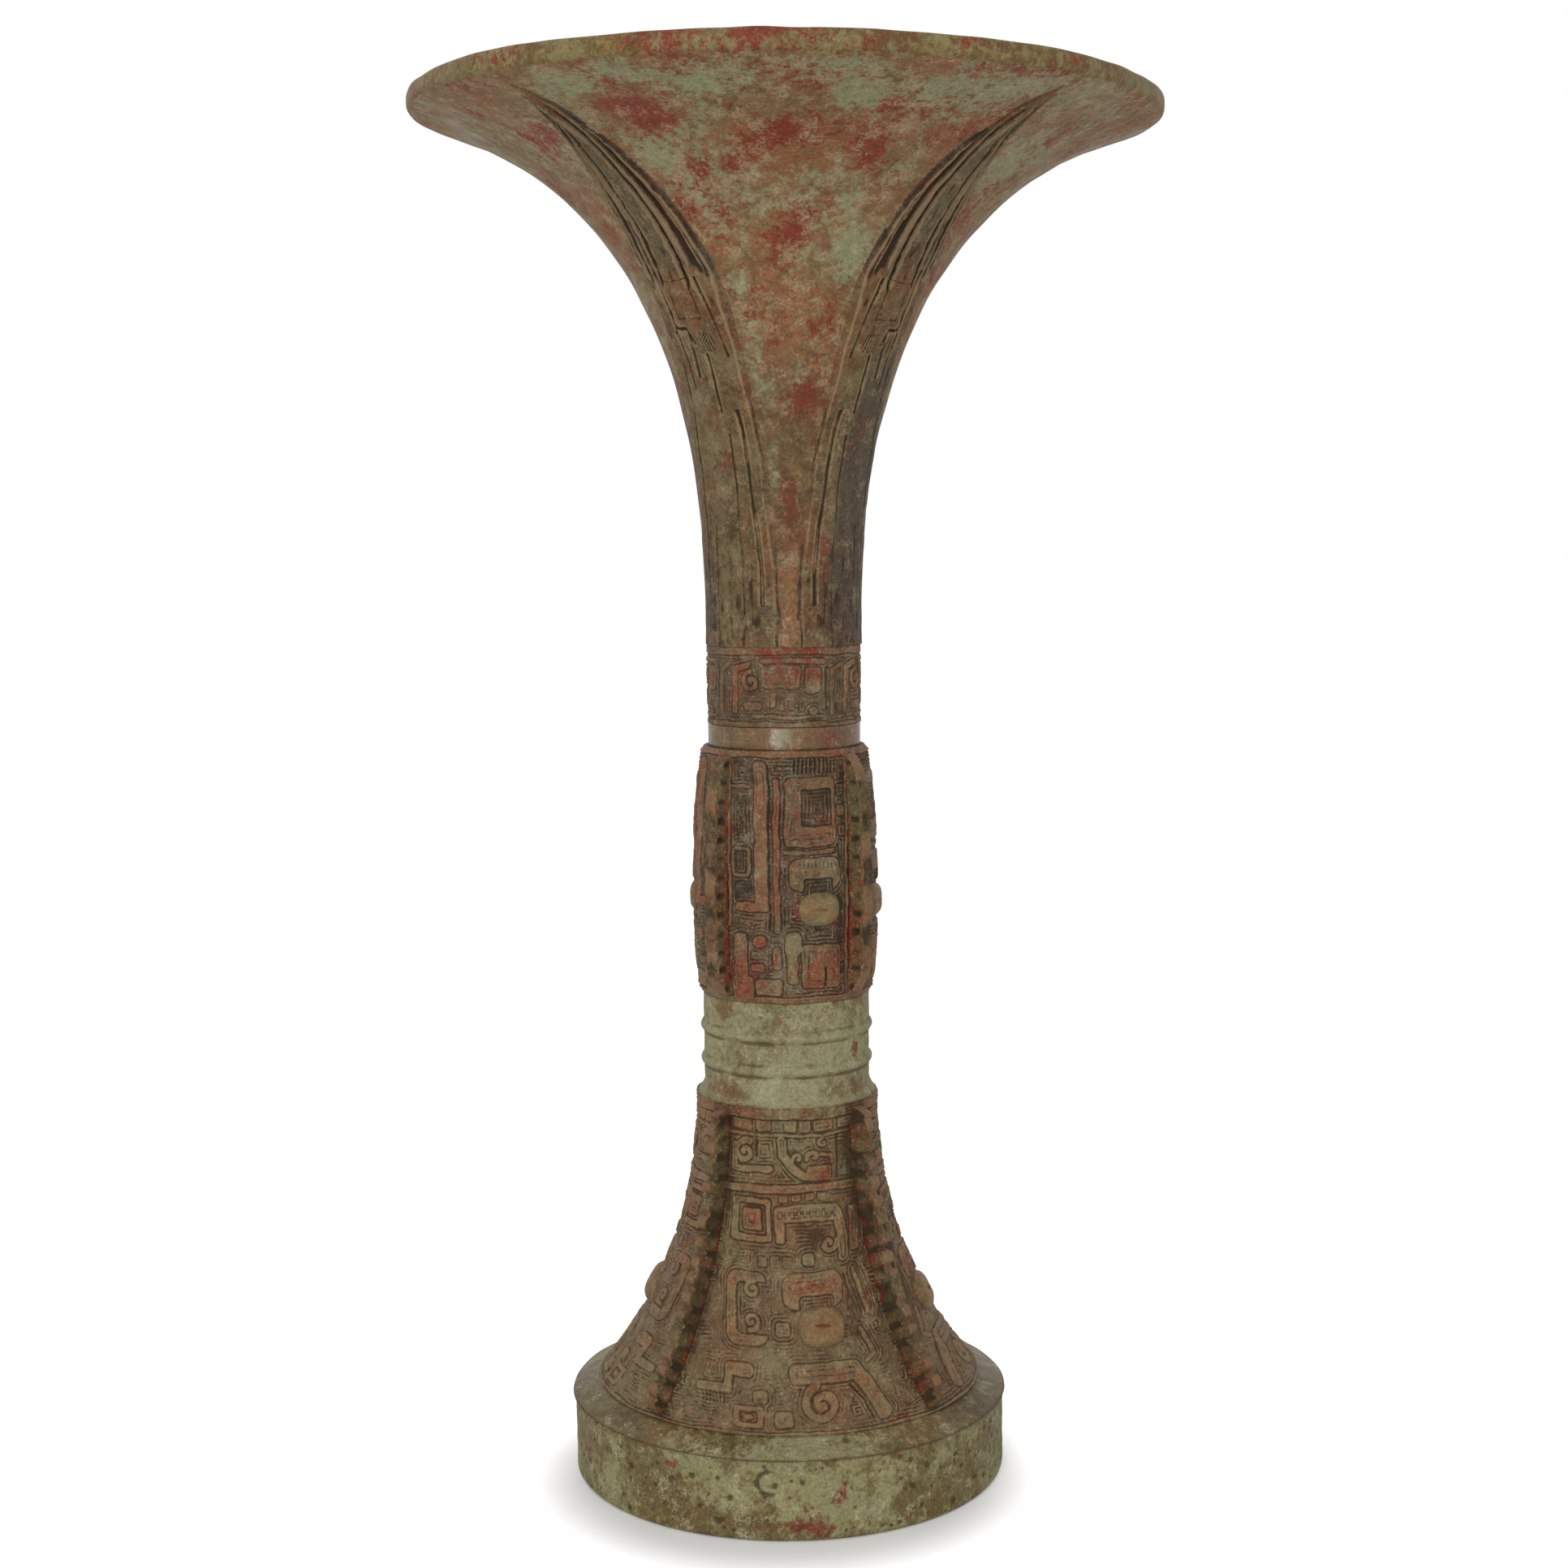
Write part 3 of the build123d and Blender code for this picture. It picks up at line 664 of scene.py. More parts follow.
def carved_masks(height, x, y, shade, crusts, plain):
    """Masks of a carved wall from its height and the shade and crusts laid on it; 0 on its plain back."""
    near = local_mean(height, 2)
    far = local_mean(height, 8)
    # Darker where the wall lies lower than round it: earth in the lines, deepened as painted shade.
    hollow = np.clip((near - height) / 0.13, 0, 1) * 0.72 + np.clip((far - height) / 0.4, 0, 1) * 0.42
    masks = {
        "relief": np.clip(height / (0.8 * CARVING_TOP), 0, 1),
        "hollow": np.clip(np.clip(hollow, 0, 1) + shade, 0, 1),
        "crest": np.clip((height - far) / 0.3, 0, 1),
    }
    for label, places in crusts.items():
        masks[label] = blots(x, y, places)
    return {label: np.concatenate([mask, plain]) for label, mask in masks.items()}


flare_curve = cubic(FLARE_FOOT, FLARE_FOOT_HANDLE, FLARE_TOP_HANDLE, FLARE_TOP, 400)
flare_wall, flare_up = evenly(flare_curve, FOOT_STEP)
flare_side = outward(flare_wall, False)
flare_back = (flare_wall - flare_side * FOOT_WALL)[::-1][::FOOT_BACK_STRIDE]
foot_line = np.concatenate([flare_wall, flare_back])
foot_side = np.concatenate([flare_side, -flare_side[::-1][::FOOT_BACK_STRIDE]])
foot_plain = np.zeros((len(flare_back), FOOT_COLUMNS))
quarter = np.radians(np.linspace(-45, 45, FOOT_COLUMNS))
flat_x = flare_wall[:, :1] * quarter
flat_y = flare_up[:, None] + 0 * flat_x
x = flat_x + 0.1 * wander((flat_x, flat_y), 9, 31) + 0.06 * wander((flat_x, flat_y), 2.6, 37)
y = flat_y + 0.1 * wander((flat_x, flat_y), 9, 32) + 0.06 * wander((flat_x, flat_y), 2.6, 38)

ear = np.maximum(slab(x, y, -14.8, 19.2, -5.9, 34.3, 2.4), -slab(x, y, -12.6, 21.4, -3.0, 32.2, 1.4))
brow = np.maximum(slab(x, y, -2.5, 26.6, 10.8, 34.4, 3.0), -slab(x, y, 0.9, 24.0, 9.0, 29.6, 1.4))
jaw = slab(x, y, -1.5, 10.9, 14.1, 15.1, 1.6)
nested = np.maximum(slab(x, y, -13.6, 40.9, -4.6, 50.2, 0.8), -slab(x, y, -12.0, 42.2, -5.6, 49.0, 0.5))
stud = np.maximum(slab(x, y, -13.4, 1.6, -7.3, 6.3, 0.6), -slab(x, y, -12.2, 2.6, -8.5, 5.3, 0.4))
foot_motifs = [
    # Border lines of the panel and of the register
    (slab(x, y, -60, 67.2, 60, 70), 0.6),
    (slab(x, y, -60, -2, 60, 0.6), 0.5),
    (slab(x, y, -60, 51.4, 60, 53.0), 0.6),
    (slab(x, y, -60, 63.5, 60, 64.1), 0.45),
    # Dragon of the register: coiled tail, body, head and crest
    (stroke(x, y, coil(-10.3, 60.1, 2.6, 1.4, 60, 1), 0.62), CARVING_TOP),
    (stroke(x, y, [(-13.0, 61.5), (-12.8, 56.4), (-4.8, 56.3)], 0.7), CARVING_TOP),
    (stroke(x, y, [(-2.2, 62.6), (-2.0, 59.2), (0.4, 56.6), (3.0, 54.7)], 0.95), CARVING_TOP),
    (stroke(x, y, coil(1.4, 58.6, 1.2, 0.7, 200, -1), 0.45), 0.6),
    (stroke(x, y, coil(5.0, 59.0, 1.6, 0.7, 200, -1), 0.5), 0.6),
    (stroke(x, y, coil(7.0, 62.1, 1.1, 1.0, 90, 1), 0.35), 0.6),
    (stroke(x, y, [(6.6, 59.4), (8.6, 59.0), (8.8, 57.4)], 0.45), 0.6),
    (slab(x, y, 3.3, 53.7, 8.7, 56.8, 0.8), CARVING_TOP),
    # Nested square, and the horn with its hook
    (nested, 0.6),
    (slab(x, y, -10.8, 43.2, -6.6, 48.0, 0.6), 0.62),
    (slab(x, y, -3.8, 45.2, 10.5, 48.6, 0.9), CARVING_TOP),
    (slab(x, y, -3.8, 40.6, -1.8, 47, 0.6), 0.6),
    (stroke(x, y, [(10.0, 46.8), (11.0, 42.5), (11.1, 37.2)], 1.2), CARVING_TOP),
    (stroke(x, y, coil(7.9, 40.2, 1.9, 1.1, 20, -1), 0.55), CARVING_TOP),
    (slab(x, y, 2.2, 36.0, 4.6, 38.4, 0.5), 0.6),
    # Brow, and the ear with its curls
    (brow, CARVING_TOP),
    (ear, CARVING_TOP),
    (stroke(x, y, coil(-8.8, 30.6, 1.7, 1.2, 80, 1), 0.5), CARVING_TOP),
    (stroke(x, y, coil(-9.3, 24.1, 1.8, 1.2, 250, 1), 0.5), CARVING_TOP),
    # Stepped claw and the studs below it
    (slab(x, y, -15.4, 12.2, -9.2, 15.2, 1.1), CARVING_TOP),
    (stroke(x, y, [(-21.4, 9.2), (-14.8, 9.4), (-14.4, 12.6)], 0.85), CARVING_TOP),
    (slab(x, y, -9.4, 7.0, -6.4, 9.6, 0.6), 0.6),
    (stud, CARVING_TOP),
    (slab(x, y, -11.2, 3.4, -9.5, 4.6, 0.4), CARVING_TOP),
    (slab(x, y, -4.6, 1.8, -0.9, 5.0, 0.7), 0.6),
    # Jaw with its leg and curl
    (jaw, CARVING_TOP),
    (stroke(x, y, [(13.0, 12.8), (16.2, 8.8), (19.2, 3.2)], 1.6), CARVING_TOP),
    (stroke(x, y, coil(5.5, 6.6, 4.2, 1.5, 110, 1), 0.85), CARVING_TOP),
    # Thin fillers at the right side and by the eye
    (stroke(x, y, [(13.6, 34), (16.7, 24.8)], 0.5), 0.5),
    (stroke(x, y, [(14.8, 21.6), (17.8, 15.8), (16.0, 14.6)], 0.5), 0.5),
    (slab(x, y, 13.0, 38, 15.2, 47.6, 0.4), 0.5),
    (slab(x, y, -4.1, 21.2, -1.0, 24.0, 0.6), 0.5),
]
# Rows of small blocks: in the top border, over the horn and over the brow
for left, right in ((-13.1, -8.6), (-7.5, -4.4), (-1.6, 1.2), (1.8, 4.2), (4.9, 9.2), (10.6, 14.0)):
    foot_motifs.append((slab(x, y, left, 64.7, right, 66.9, 0.35), 0.55))
for left in (-2.8, 0.0, 2.8, 5.6):
    foot_motifs.append((slab(x, y, left, 49.4, left + 1.9, 50.9, 0.25), 0.42))
for left in (-7.8, -5.0, -2.2):
    foot_motifs.append((slab(x, y, left, 35.6, left + 1.9, 37.8, 0.25), 0.42))
bead = 0.5 + 0.5 * np.cos(2 * math.pi * x / 1.35) * np.sign(np.cos(2 * math.pi * y / 1.7))
comb = np.abs((x / 0.85) % 1 - 0.5) * 0.85
foot_cuts = [
    (np.maximum(slab(x, y, -3.2, 45.9, 9.6, 47.8, 0.2), 0.3 - bead), 0.22),
    (np.abs(brow + 1.7) - 0.08, 0.16),
    (np.abs(jaw + 1.5) - 0.08, 0.16),
    (slab(x, y, 3.4, 31.6, 7.0, 32.0, 0.1), 0.2),
    (slab(x, y, -7.9, 59.2, -7.2, 65.0, 0.2), 0.4),
    (slab(x, y, 9.9, 53.8, 10.6, 63.4, 0.1), 0.45),
    (np.maximum(slab(x, y, -21.0, 6.2, -15.4, 8.2, 0.2), comb - 0.16), 0.3),
    (stroke(x, y, [(11.6, 10.2), (14.6, 6.8), (16.8, 2.4)], 0.22), 0.4),
    (stroke(x, y, [(11.4, 33.2), (12.4, 30), (12.2, 26)], 0.22), 0.3),
]
foot_slip = 0.5 * wander((flat_x, flat_y), 11, 33)
foot_rows = 0.5 + 0.5 * np.cos(2 * math.pi * (y + foot_slip) / THREAD_PITCH)
foot_squares = leiwen(x, y, 2.9, 1.75)
foot_kind = inside(wander((flat_x, flat_y), 9, 34), 0.5)
foot_ground = foot_rows * foot_kind + foot_squares * (1 - foot_kind)
foot_worn = 0.9 + 0.13 * wander((flat_x, flat_y), 8, 35) + 0.06 * wander((flat_x, flat_y), 2, 36)
foot_worn = np.clip(foot_worn, 0.5, 1.1)
foot_faded = np.clip(0.7 + 0.5 * wander((flat_x, flat_y), 5, 39), 0.1, 1.5)
foot_height = carved(foot_ground, foot_motifs, foot_cuts, foot_worn, foot_faded)
foot_height = foot_height + 0.03 * wander((flat_x, flat_y), 1.3, 40)
foot_warms = [
    (-4, 66, 16, 1.5, 0.22),
    (0, 54, 20, 14, 0.15),
    (6, 55, 3.5, 2, 0.3),
    (0, 52.2, 20, 1.2, 0.22),
    (-8.6, 45.4, 3, 3.5, 0.3),
    (-13.8, 32.6, 2.5, 3, 0.3),
    (4, 31.6, 7, 3, 0.28),
    (-12.2, 13.7, 3.5, 2, 0.3),
    (-10.4, 4, 3, 2.2, 0.32),
    (7, 13, 8, 2, 0.16),
    (9, 7, 4, 4, 0.14),
]
foot_reds = [
    (6, 55, 3, 1.6, 0.26),
    (7.8, 58, 1.6, 1.6, 0.36),
    (3, 31.4, 5, 2.4, 0.2),
    (-9.4, 46, 4, 2.6, 0.26),
    (-13, 60, 3, 4, 0.16),
    (12, 44, 2, 5, 0.3),
    (17, 27, 3, 5, 0.18),
    (-9, 49, 4, 1.5, 0.2),
]
foot_greens = [
    (0, 59, 3, 4, 0.26),
    (3, 47, 8, 1.8, 0.3),
    (12.5, 66, 3, 2, 0.3),
    (11, 41, 2, 5, 0.2),
    (0, 8, 30, 8, 0.06),
]
foot_dark = [
    (4.6, 42, 3.6, 2.6, 0.6),
    (13.5, 40, 2.5, 26, 0.36),
    (12.5, 60, 2.6, 6, 0.36),
    (-3, 38, 14, 2.4, 0.2),
    (-13.5, 46, 2, 20, 0.16),
    (2, 60, 12, 4, 0.1),
    (13.5, 24, 3, 7, 0.24),
    (0, 6, 26, 9, -0.12),
    (0, 54, 22, 16, 0.12),
]
foot_face = {
    "Ground": tone(118, 96, 69),
    "Shade": tone(93, 73, 51),
    "Warm": tone(122, 84, 55),
    "Green": tone(126, 116, 86),
    "Red": tone(118, 60, 40),
    "Pale": tone(146, 126, 94),
    "Warm Cover": 0.38,
    "Green Cover": 0.36,
    "Red Cover": 0.24,
    "Pale Cover": 0.34,
    "Softness": 0.18,
    "Glint": 0.25,
}
foot_floor = {
    **foot_face,
    "Ground": tone(113, 94, 69),
    "Shade": tone(94, 76, 55),
    "Warm": tone(118, 88, 60),
    "Green": tone(120, 110, 80),
    "Red": tone(110, 64, 44),
    "Pale": tone(140, 122, 94),
}
foot_earth_shade_wear = {"Soil And Shade": tone(50, 38, 26), "Metal": tone(140, 118, 88), "Darkening Cover": 0.78, "Wear": 0.4}
foot_bronze = bronze("foot_bronze", foot_face, foot_floor, foot_earth_shade_wear)
# Painted shade: the ground is darkened beside each flange, where the flange's shadow falls.
beside_flange_shade = inside(flare_wall[:, :1] * (math.pi / 4 - np.abs(quarter)) - FLANGE_SHADE_REACH, 1.2)
foot_shade = blots(flat_x, flat_y, foot_dark) + FLANGE_SHADE * beside_flange_shade
foot_crusts = {"warm_spots": foot_warms, "red_spots": foot_reds, "green_spots": foot_greens}
foot_masks = carved_masks(foot_height, flat_x, flat_y, foot_shade, foot_crusts, foot_plain)
for side, degrees in PANEL_TURNS.items():
    hand = -1 if side in MIRRORED_PANELS else 1
    rise = np.concatenate([foot_height[:, ::hand], foot_plain])
    masks = {label: mask[:, ::hand] for label, mask in foot_masks.items()}
    points = turned(foot_line, quarter + math.radians(degrees), rise, foot_side)
    panel = grid_piece("foot_panel_" + side, points, foot_bronze, True, False, masks)
    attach(panel, "root")
    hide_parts("foot")


# String band
# The plain waisted neck of the foot with two raised bow-string lines, cast with the foot: smooth
# bronze under an almost unbroken pale green crust. Its spigot goes up into the waist. Shade is
# painted in a dark line under each string, a fainter one over it, and at both ends of the band.

BAND_RADIUS = 18.35
BAND_LOW = 87.4
BAND_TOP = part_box("waist")[0][2] / MM
STRING_LEVELS = (92.6, 100.0)
STRING_HALF = 1.3
STRING_CREST = 0.4
STRING_PROUD = 0.7
SPIGOT_RADIUS = 16.0
SPIGOT_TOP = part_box("cup_floor")[0][2] / MM
CUP_BORE = 14.5
BAND_FOOT = FLARE_TOP[1] - 0.1
BAND_FOOT_BORE = 16.8

band_corners = [
    (BAND_FOOT_BORE, BAND_FOOT, 0),
    (FLARE_TOP[0] + 0.2, BAND_FOOT, 0.3),
    (BAND_RADIUS, BAND_LOW, 1.0),
]
for level in STRING_LEVELS:
    band_corners += [
        (BAND_RADIUS, level - STRING_HALF, 0.5),
        (BAND_RADIUS + STRING_PROUD, level - STRING_CREST, 0.35),
        (BAND_RADIUS + STRING_PROUD, level + STRING_CREST, 0.35),
        (BAND_RADIUS, level + STRING_HALF, 0.5),
    ]
band_corners += [
    (BAND_RADIUS, BAND_TOP, 0.2),
    (SPIGOT_RADIUS, BAND_TOP, 0),
    (SPIGOT_RADIUS, SPIGOT_TOP, 0.2),
    (CUP_BORE, SPIGOT_TOP, 0.2),
    (CUP_BORE, BAND_TOP, 0),
    (BAND_FOOT_BORE, BAND_FOOT, 0),
]
band_line = section_line(band_corners, 0.3)[:-1]
band_levels = band_line[:, 1:]
band_coords = around(BAND_RADIUS, turned_angles, band_levels)
# Painted shade: dark lines under the strings, fainter over them, and at the band's two ends.
band_painted_shade = np.zeros((len(band_line), TURNED_COLUMNS))
for level in STRING_LEVELS:
    band_painted_shade += 1.1 * close_to(band_levels, level - STRING_HALF, 0.42)
    band_painted_shade += 0.5 * close_to(band_levels, level + STRING_HALF, 0.4)
band_painted_shade += 0.8 * close_to(band_levels, BAND_TOP, 0.5) + 0.5 * close_to(band_levels, FLARE_TOP[1], 0.6)
band_painted_shade = band_painted_shade * (0.8 + 0.35 * wander(band_coords, 9, 41))
band_warms = [
    (-52, 105, 15, 2.8, 0.42),
    (52, 104.5, 12, 3, 0.3),
    (9.6, 96.5, 3.5, 2, 0.3),
    (-50, 87, 16, 2, 0.42),
    (48, 88, 14, 2.4, 0.34),
    (-12, 87, 26, 1.3, 0.2),
    (20, 104, 3, 1, 0.4),
    (-20, 105, 2.5, 1, 0.4),
    (62, 96, 16, 8, 0.2),
    (-64, 97, 16, 8, 0.24),
    (30, 90, 8, 1.6, 0.3),
    (-4, 103.5, 4, 1, 0.3),
    (130, 95, 14, 6, 0.25),
    (215, 103, 18, 4, 0.3),
]
band_reds = [
    (52, 97, 5, 2.5, 0.55),
    (9.6, 96.5, 2.5, 1.6, 0.35),
    (50, 88, 9, 2, 0.3),
    (58, 104, 5, 3, 0.3),
    (24, 98.2, 2, 1, 0.4),
    (-58, 88, 7, 2, 0.3),
    (170, 90, 9, 3, 0.3),
]
band_greens = [
    (-52, 105, 14, 3, -0.4),
    (52, 104, 12, 4, -0.3),
    (-50, 87, 16, 2, -0.4),
    (48, 88, 14, 2.4, -0.3),
    (0, 96, 40, 9, 0.1),
]
band_masks = {
    "hollow": np.clip(band_painted_shade, 0, 1),
    "crest": np.clip((band_line[:, :1] - BAND_RADIUS) / STRING_PROUD, 0, 1) * 0.5 + 0 * turned_angles,
    "warm_spots": spots(turned_angles, band_levels, band_warms),
    "green_spots": spots(turned_angles, band_levels, band_greens),
    "red_spots": spots(turned_angles, band_levels, band_reds),
}
band_rise = 0.06 * wander(band_coords, 16, 42) + 0.035 * wander(band_coords, 3.5, 43)
band_rise = band_rise * (band_line[:, :1] > BAND_RADIUS - 0.1)
band_green = {
    **pale_green,
    "Ground": tone(124, 117, 84),
    "Shade": tone(109, 100, 68),
    "Warm": tone(112, 88, 58),
    "Green": tone(140, 137, 104),
    "Pale": tone(160, 158, 126),
    "Warm Cover": 0.3,
    "Green Cover": 0.52,
    "Pale Cover": 0.36,
}
band_shade_and_wear = {"Soil And Shade": tone(84, 68, 44), "Darkening Cover": 0.8, "Metal": tone(146, 142, 108), "Wear": 0.4}
band_bronze = bronze("band_bronze", band_green, earth_shade_settings=band_shade_and_wear, rough=(0.46, 0.62))
band_points = turned(band_line, turned_angles, band_rise)
string_band = grid_piece("foot_string_band", band_points, band_bronze, True, True, band_masks)
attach(string_band, "root")
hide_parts("foot")


# Cup floor
# The plain cast disc that closes the cup, held between the spigot of the foot and the ledge in the
# waist. Its own shape is right, so it stays as it is, in dull dark bronze with a little earth.

lining_tones = {
    "Ground": tone(104, 94, 70),
    "Shade": tone(80, 70, 52),
    "Warm": tone(98, 76, 54),
    "Green": tone(122, 120, 94),
    "Red": tone(98, 60, 44),
    "Green Cover": 0.42,
    "Red Cover": 0.25,
}
lining_bronze = bronze("lining_bronze", lining_tones)
for floor_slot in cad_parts["cup_floor"].material_slots:
    floor_slot.material = lining_bronze


# Waist
# The bulged sleeve of the waist in four quarters between the flanges: cast bronze with half of a mask
# to each, its body bar, horn, brow, tongue and jaw over fine spirals. It takes the spigots of the
# foot and the trumpet in a socket at each end, and its outer edges are rounded.

WAIST_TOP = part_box("waist")[1][2] / MM
WAIST_BULGE = (19.9, 128.2)
WAIST_FOOT_RADIUS = 19.0
WAIST_TOP_RADIUS = 18.2
SOCKET_RADIUS = 16.05
CUP_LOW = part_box("cup_floor")[1][2] / MM
WAIST_LEDGE = 149.9
WAIST_COLUMNS = 224
WAIST_STEP = 0.15
END_DROP = 1.0
END_REACH = 2.6


def arc_through(start, middle, end, count):
    """Points on the circle arc through three points."""
    (ax, ay), (bx, by), (cx, cy) = start, middle, end
    d = 2 * (ax * (by - cy) + bx * (cy - ay) + cx * (ay - by))
    a2, b2, c2 = ax * ax + ay * ay, bx * bx + by * by, cx * cx + cy * cy
    ox = (a2 * (by - cy) + b2 * (cy - ay) + c2 * (ay - by)) / d
    oy = (a2 * (cx - bx) + b2 * (ax - cx) + c2 * (bx - ax)) / d
    turn = np.linspace(math.atan2(ay - oy, ax - ox), math.atan2(cy - oy, cx - ox), count)
    radius = math.hypot(ax - ox, ay - oy)
    return np.stack([ox + radius * np.cos(turn), oy + radius * np.sin(turn)], 1)


waist_foot = (WAIST_FOOT_RADIUS, BAND_TOP)
waist_head = (WAIST_TOP_RADIUS, WAIST_TOP)
waist_wall, waist_up = evenly(arc_through(waist_foot, WAIST_BULGE, waist_head, 300), WAIST_STEP)
waist_side = outward(waist_wall, False)
waist_back = section_line(
    [
        (WAIST_TOP_RADIUS - 0.6, WAIST_TOP, 0),
        (SOCKET_RADIUS, WAIST_TOP, 0),
        (SOCKET_RADIUS, WAIST_LEDGE, 0),
        (CUP_BORE, WAIST_LEDGE, 0),
        (CUP_BORE, CUP_LOW, 0),
        (SOCKET_RADIUS, CUP_LOW, 0),
        (SOCKET_RADIUS, BAND_TOP, 0),
        (WAIST_FOOT_RADIUS - 0.6, BAND_TOP, 0),
    ],
    4.0,
)
waist_line = np.concatenate([waist_wall, waist_back])
waist_out = np.concatenate([waist_side, np.zeros((len(waist_back), 2))])
waist_plain = np.zeros((len(waist_back), WAIST_COLUMNS))
waist_quarter = np.radians(np.linspace(-45, 45, WAIST_COLUMNS))
flat_x = waist_wall[:, :1] * waist_quarter
flat_y = waist_up[:, None] + 0 * flat_x
x = flat_x + 0.1 * wander((flat_x, flat_y), 9, 51) + 0.07 * wander((flat_x, flat_y), 2.4, 55)
y = flat_y + 0.1 * wander((flat_x, flat_y), 9, 52) + 0.07 * wander((flat_x, flat_y), 2.4, 56)

horn_heart = slab(x, y, 2.5, 38.2, 9.4, 46.4, 0.8)
horn = np.maximum(slab(x, y, -0.9, 34.3, 10.2, 48.7, 1.2), -horn_heart)
brow = np.maximum(slab(x, y, -0.1, 24.6, 11.4, 31.7, 2.4), -slab(x, y, 3.0, 22.4, 9.9, 27.2, 0.9))
tongue = np.minimum(slab(x, y, -0.9, 10.6, 2.6, 15.7, 1.4), slab(x, y, -0.6, 4.5, 1.7, 12, 0.8))
jaw = slab(x, y, 2.5, 3.4, 11.5, 12.8, 1.2)
dot = np.hypot(x + 6.4, y - 13.6) - 1.4
claw = np.minimum(slab(x, y, -12.3, 5, -9.2, 15.4, 1.0), slab(x, y, -12.9, 0.8, -8.0, 6.0, 0.9))
waist_motifs = [
    # Border lines, and the body bar with a thin bar beside it
    (slab(x, y, -20, 53.2, 20, 56), 0.6),
    (slab(x, y, -20, -1, 20, 1.3), 0.55),
    (slab(x, y, -7.5, 20.6, -4.6, 52.2, 1.2), CARVING_TOP),
    (slab(x, y, -12.1, 20.4, -4.4, 22.2, 0.8), CARVING_TOP),
    (slab(x, y, -3.4, 15.7, -2.1, 48.7, 0.4), 0.6),
    # Parts of the mask
    (horn, CARVING_TOP),
    (brow, CARVING_TOP),
    (tongue, CARVING_TOP),
    (jaw, CARVING_TOP),
    (dot, CARVING_TOP),
    (claw, CARVING_TOP),
    # Fillers below, at the left and along the right side
    (slab(x, y, -7.6, 1.9, -1.7, 5.6, 1.0), 0.55),
    (slab(x, y, -8.4, 7.2, -5.4, 8.8, 0.6), 0.55),
    (slab(x, y, -3.6, 7.8, -1.9, 12.4, 0.5), 0.55),
    (np.abs(slab(x, y, -13.0, 27.2, -8.2, 34.2, 1.2) + 0.6) - 0.4, 0.5),
    (slab(x, y, -1.4, 32.6, 10.3, 33.4, 0.2), 0.42),
    (slab(x, y, -13.4, 46.6, -8.6, 47.4, 0.2), 0.42),
    (slab(x, y, -13.9, 16.4, -13.3, 52, 0.2), 0.5),
    (slab(x, y, 13.0, 2, 13.6, 52, 0.2), 0.5),
]
for low in (4, 9, 14, 36, 40.4, 44.8):
    waist_motifs.append((slab(x, y, 11.0, low, 12.6, low + 2.2, 0.3), 0.42))
comb = np.abs((x / 0.9) % 1 - 0.5) * 0.9
waist_cuts = [
    (slab(x, y, 7.5, 3.4, 8.1, 8, 0.2), 0.55),
    (slab(x, y, -4.5, 16, -3.9, 51.5, 0.2), 0.28),
    (np.abs(horn + 1.5) - 0.08, 0.14),
    (np.abs(jaw + 1.6) - 0.08, 0.14),
    (np.maximum(slab(x, y, 1.1, 49.6, 10.7, 52.8, 0.3), comb - 0.2), 0.4),
    (np.maximum(slab(x, y, 1.8, 29.4, 9.8, 30.8, 0.2), comb - 0.14), 0.2),
    (np.abs(slab(x, y, -7.0, 42.0, -5.2, 50, 0.8)) - 0.1, 0.16),
    (slab(x, y, -14.5, 1, -13.9, 53.6, 0.1), 0.35),
    (slab(x, y, 13.7, 1, 14.2, 53.6, 0.1), 0.35),
]
waist_ground = leiwen(x + 0.4, y + 0.5, 2.7, 1.75)
horn_pocket = inside(horn_heart, 0.3)
horn_spiral = leiwen(x - 2.5, (y - 38.2) * 6.9 / 8.2, 6.9, 3.8)
waist_ground = waist_ground * (1 - horn_pocket) + horn_spiral * horn_pocket
waist_worn = 0.9 + 0.13 * wander((flat_x, flat_y), 7, 53) + 0.06 * wander((flat_x, flat_y), 2, 54)
waist_worn = np.clip(waist_worn, 0.5, 1.1)
waist_faded = np.clip(0.85 + 0.4 * wander((flat_x, flat_y), 5, 57), 0.2, 1.5)
waist_height = carved(waist_ground, waist_motifs, waist_cuts, waist_worn, waist_faded)
waist_height = waist_height + 0.03 * wander((flat_x, flat_y), 1.2, 58)
sunk_places = (
    (-12.3, 36.6, -8.4, 44.6, 0.42),
    (-13, 22.6, -8.2, 26.8, 0.4),
    (-12.6, 27.6, -8.4, 33.8, 0.2),
    (2.5, 38.2, 9.4, 46.4, 0.34),
    (3.0, 23.6, 9.9, 27.2, 0.45),
    (10.6, 2, 14, 51, 0.36),
    (9.8, 13, 12, 24, 0.3),
    (-3, 16, 3, 19, 0.24),
    (-1, 32.4, 11, 34.2, 0.24),
    (-1, 49.4, 11, 52.6, 0.24),
    (-8.2, 9, -4, 12, 0.3),
)
waist_dark = 0
for left, low, right, high, strength in sunk_places:
    waist_dark = waist_dark + strength * inside(slab(x, y, left, low, right, high, 0.5), 0.8)
waist_face = {
    "Ground": tone(110, 88, 64),
    "Shade": tone(86, 67, 49),
    "Warm": tone(122, 84, 58),
    "Green": tone(122, 112, 84),
    "Red": tone(122, 55, 39),
    "Pale": tone(142, 124, 98),
    "Warm Cover": 0.38,
    "Green Cover": 0.34,
    "Red Cover": 0.3,
    "Pale Cover": 0.34,
    "Softness": 0.18,
    "Glint": 0.25,
}
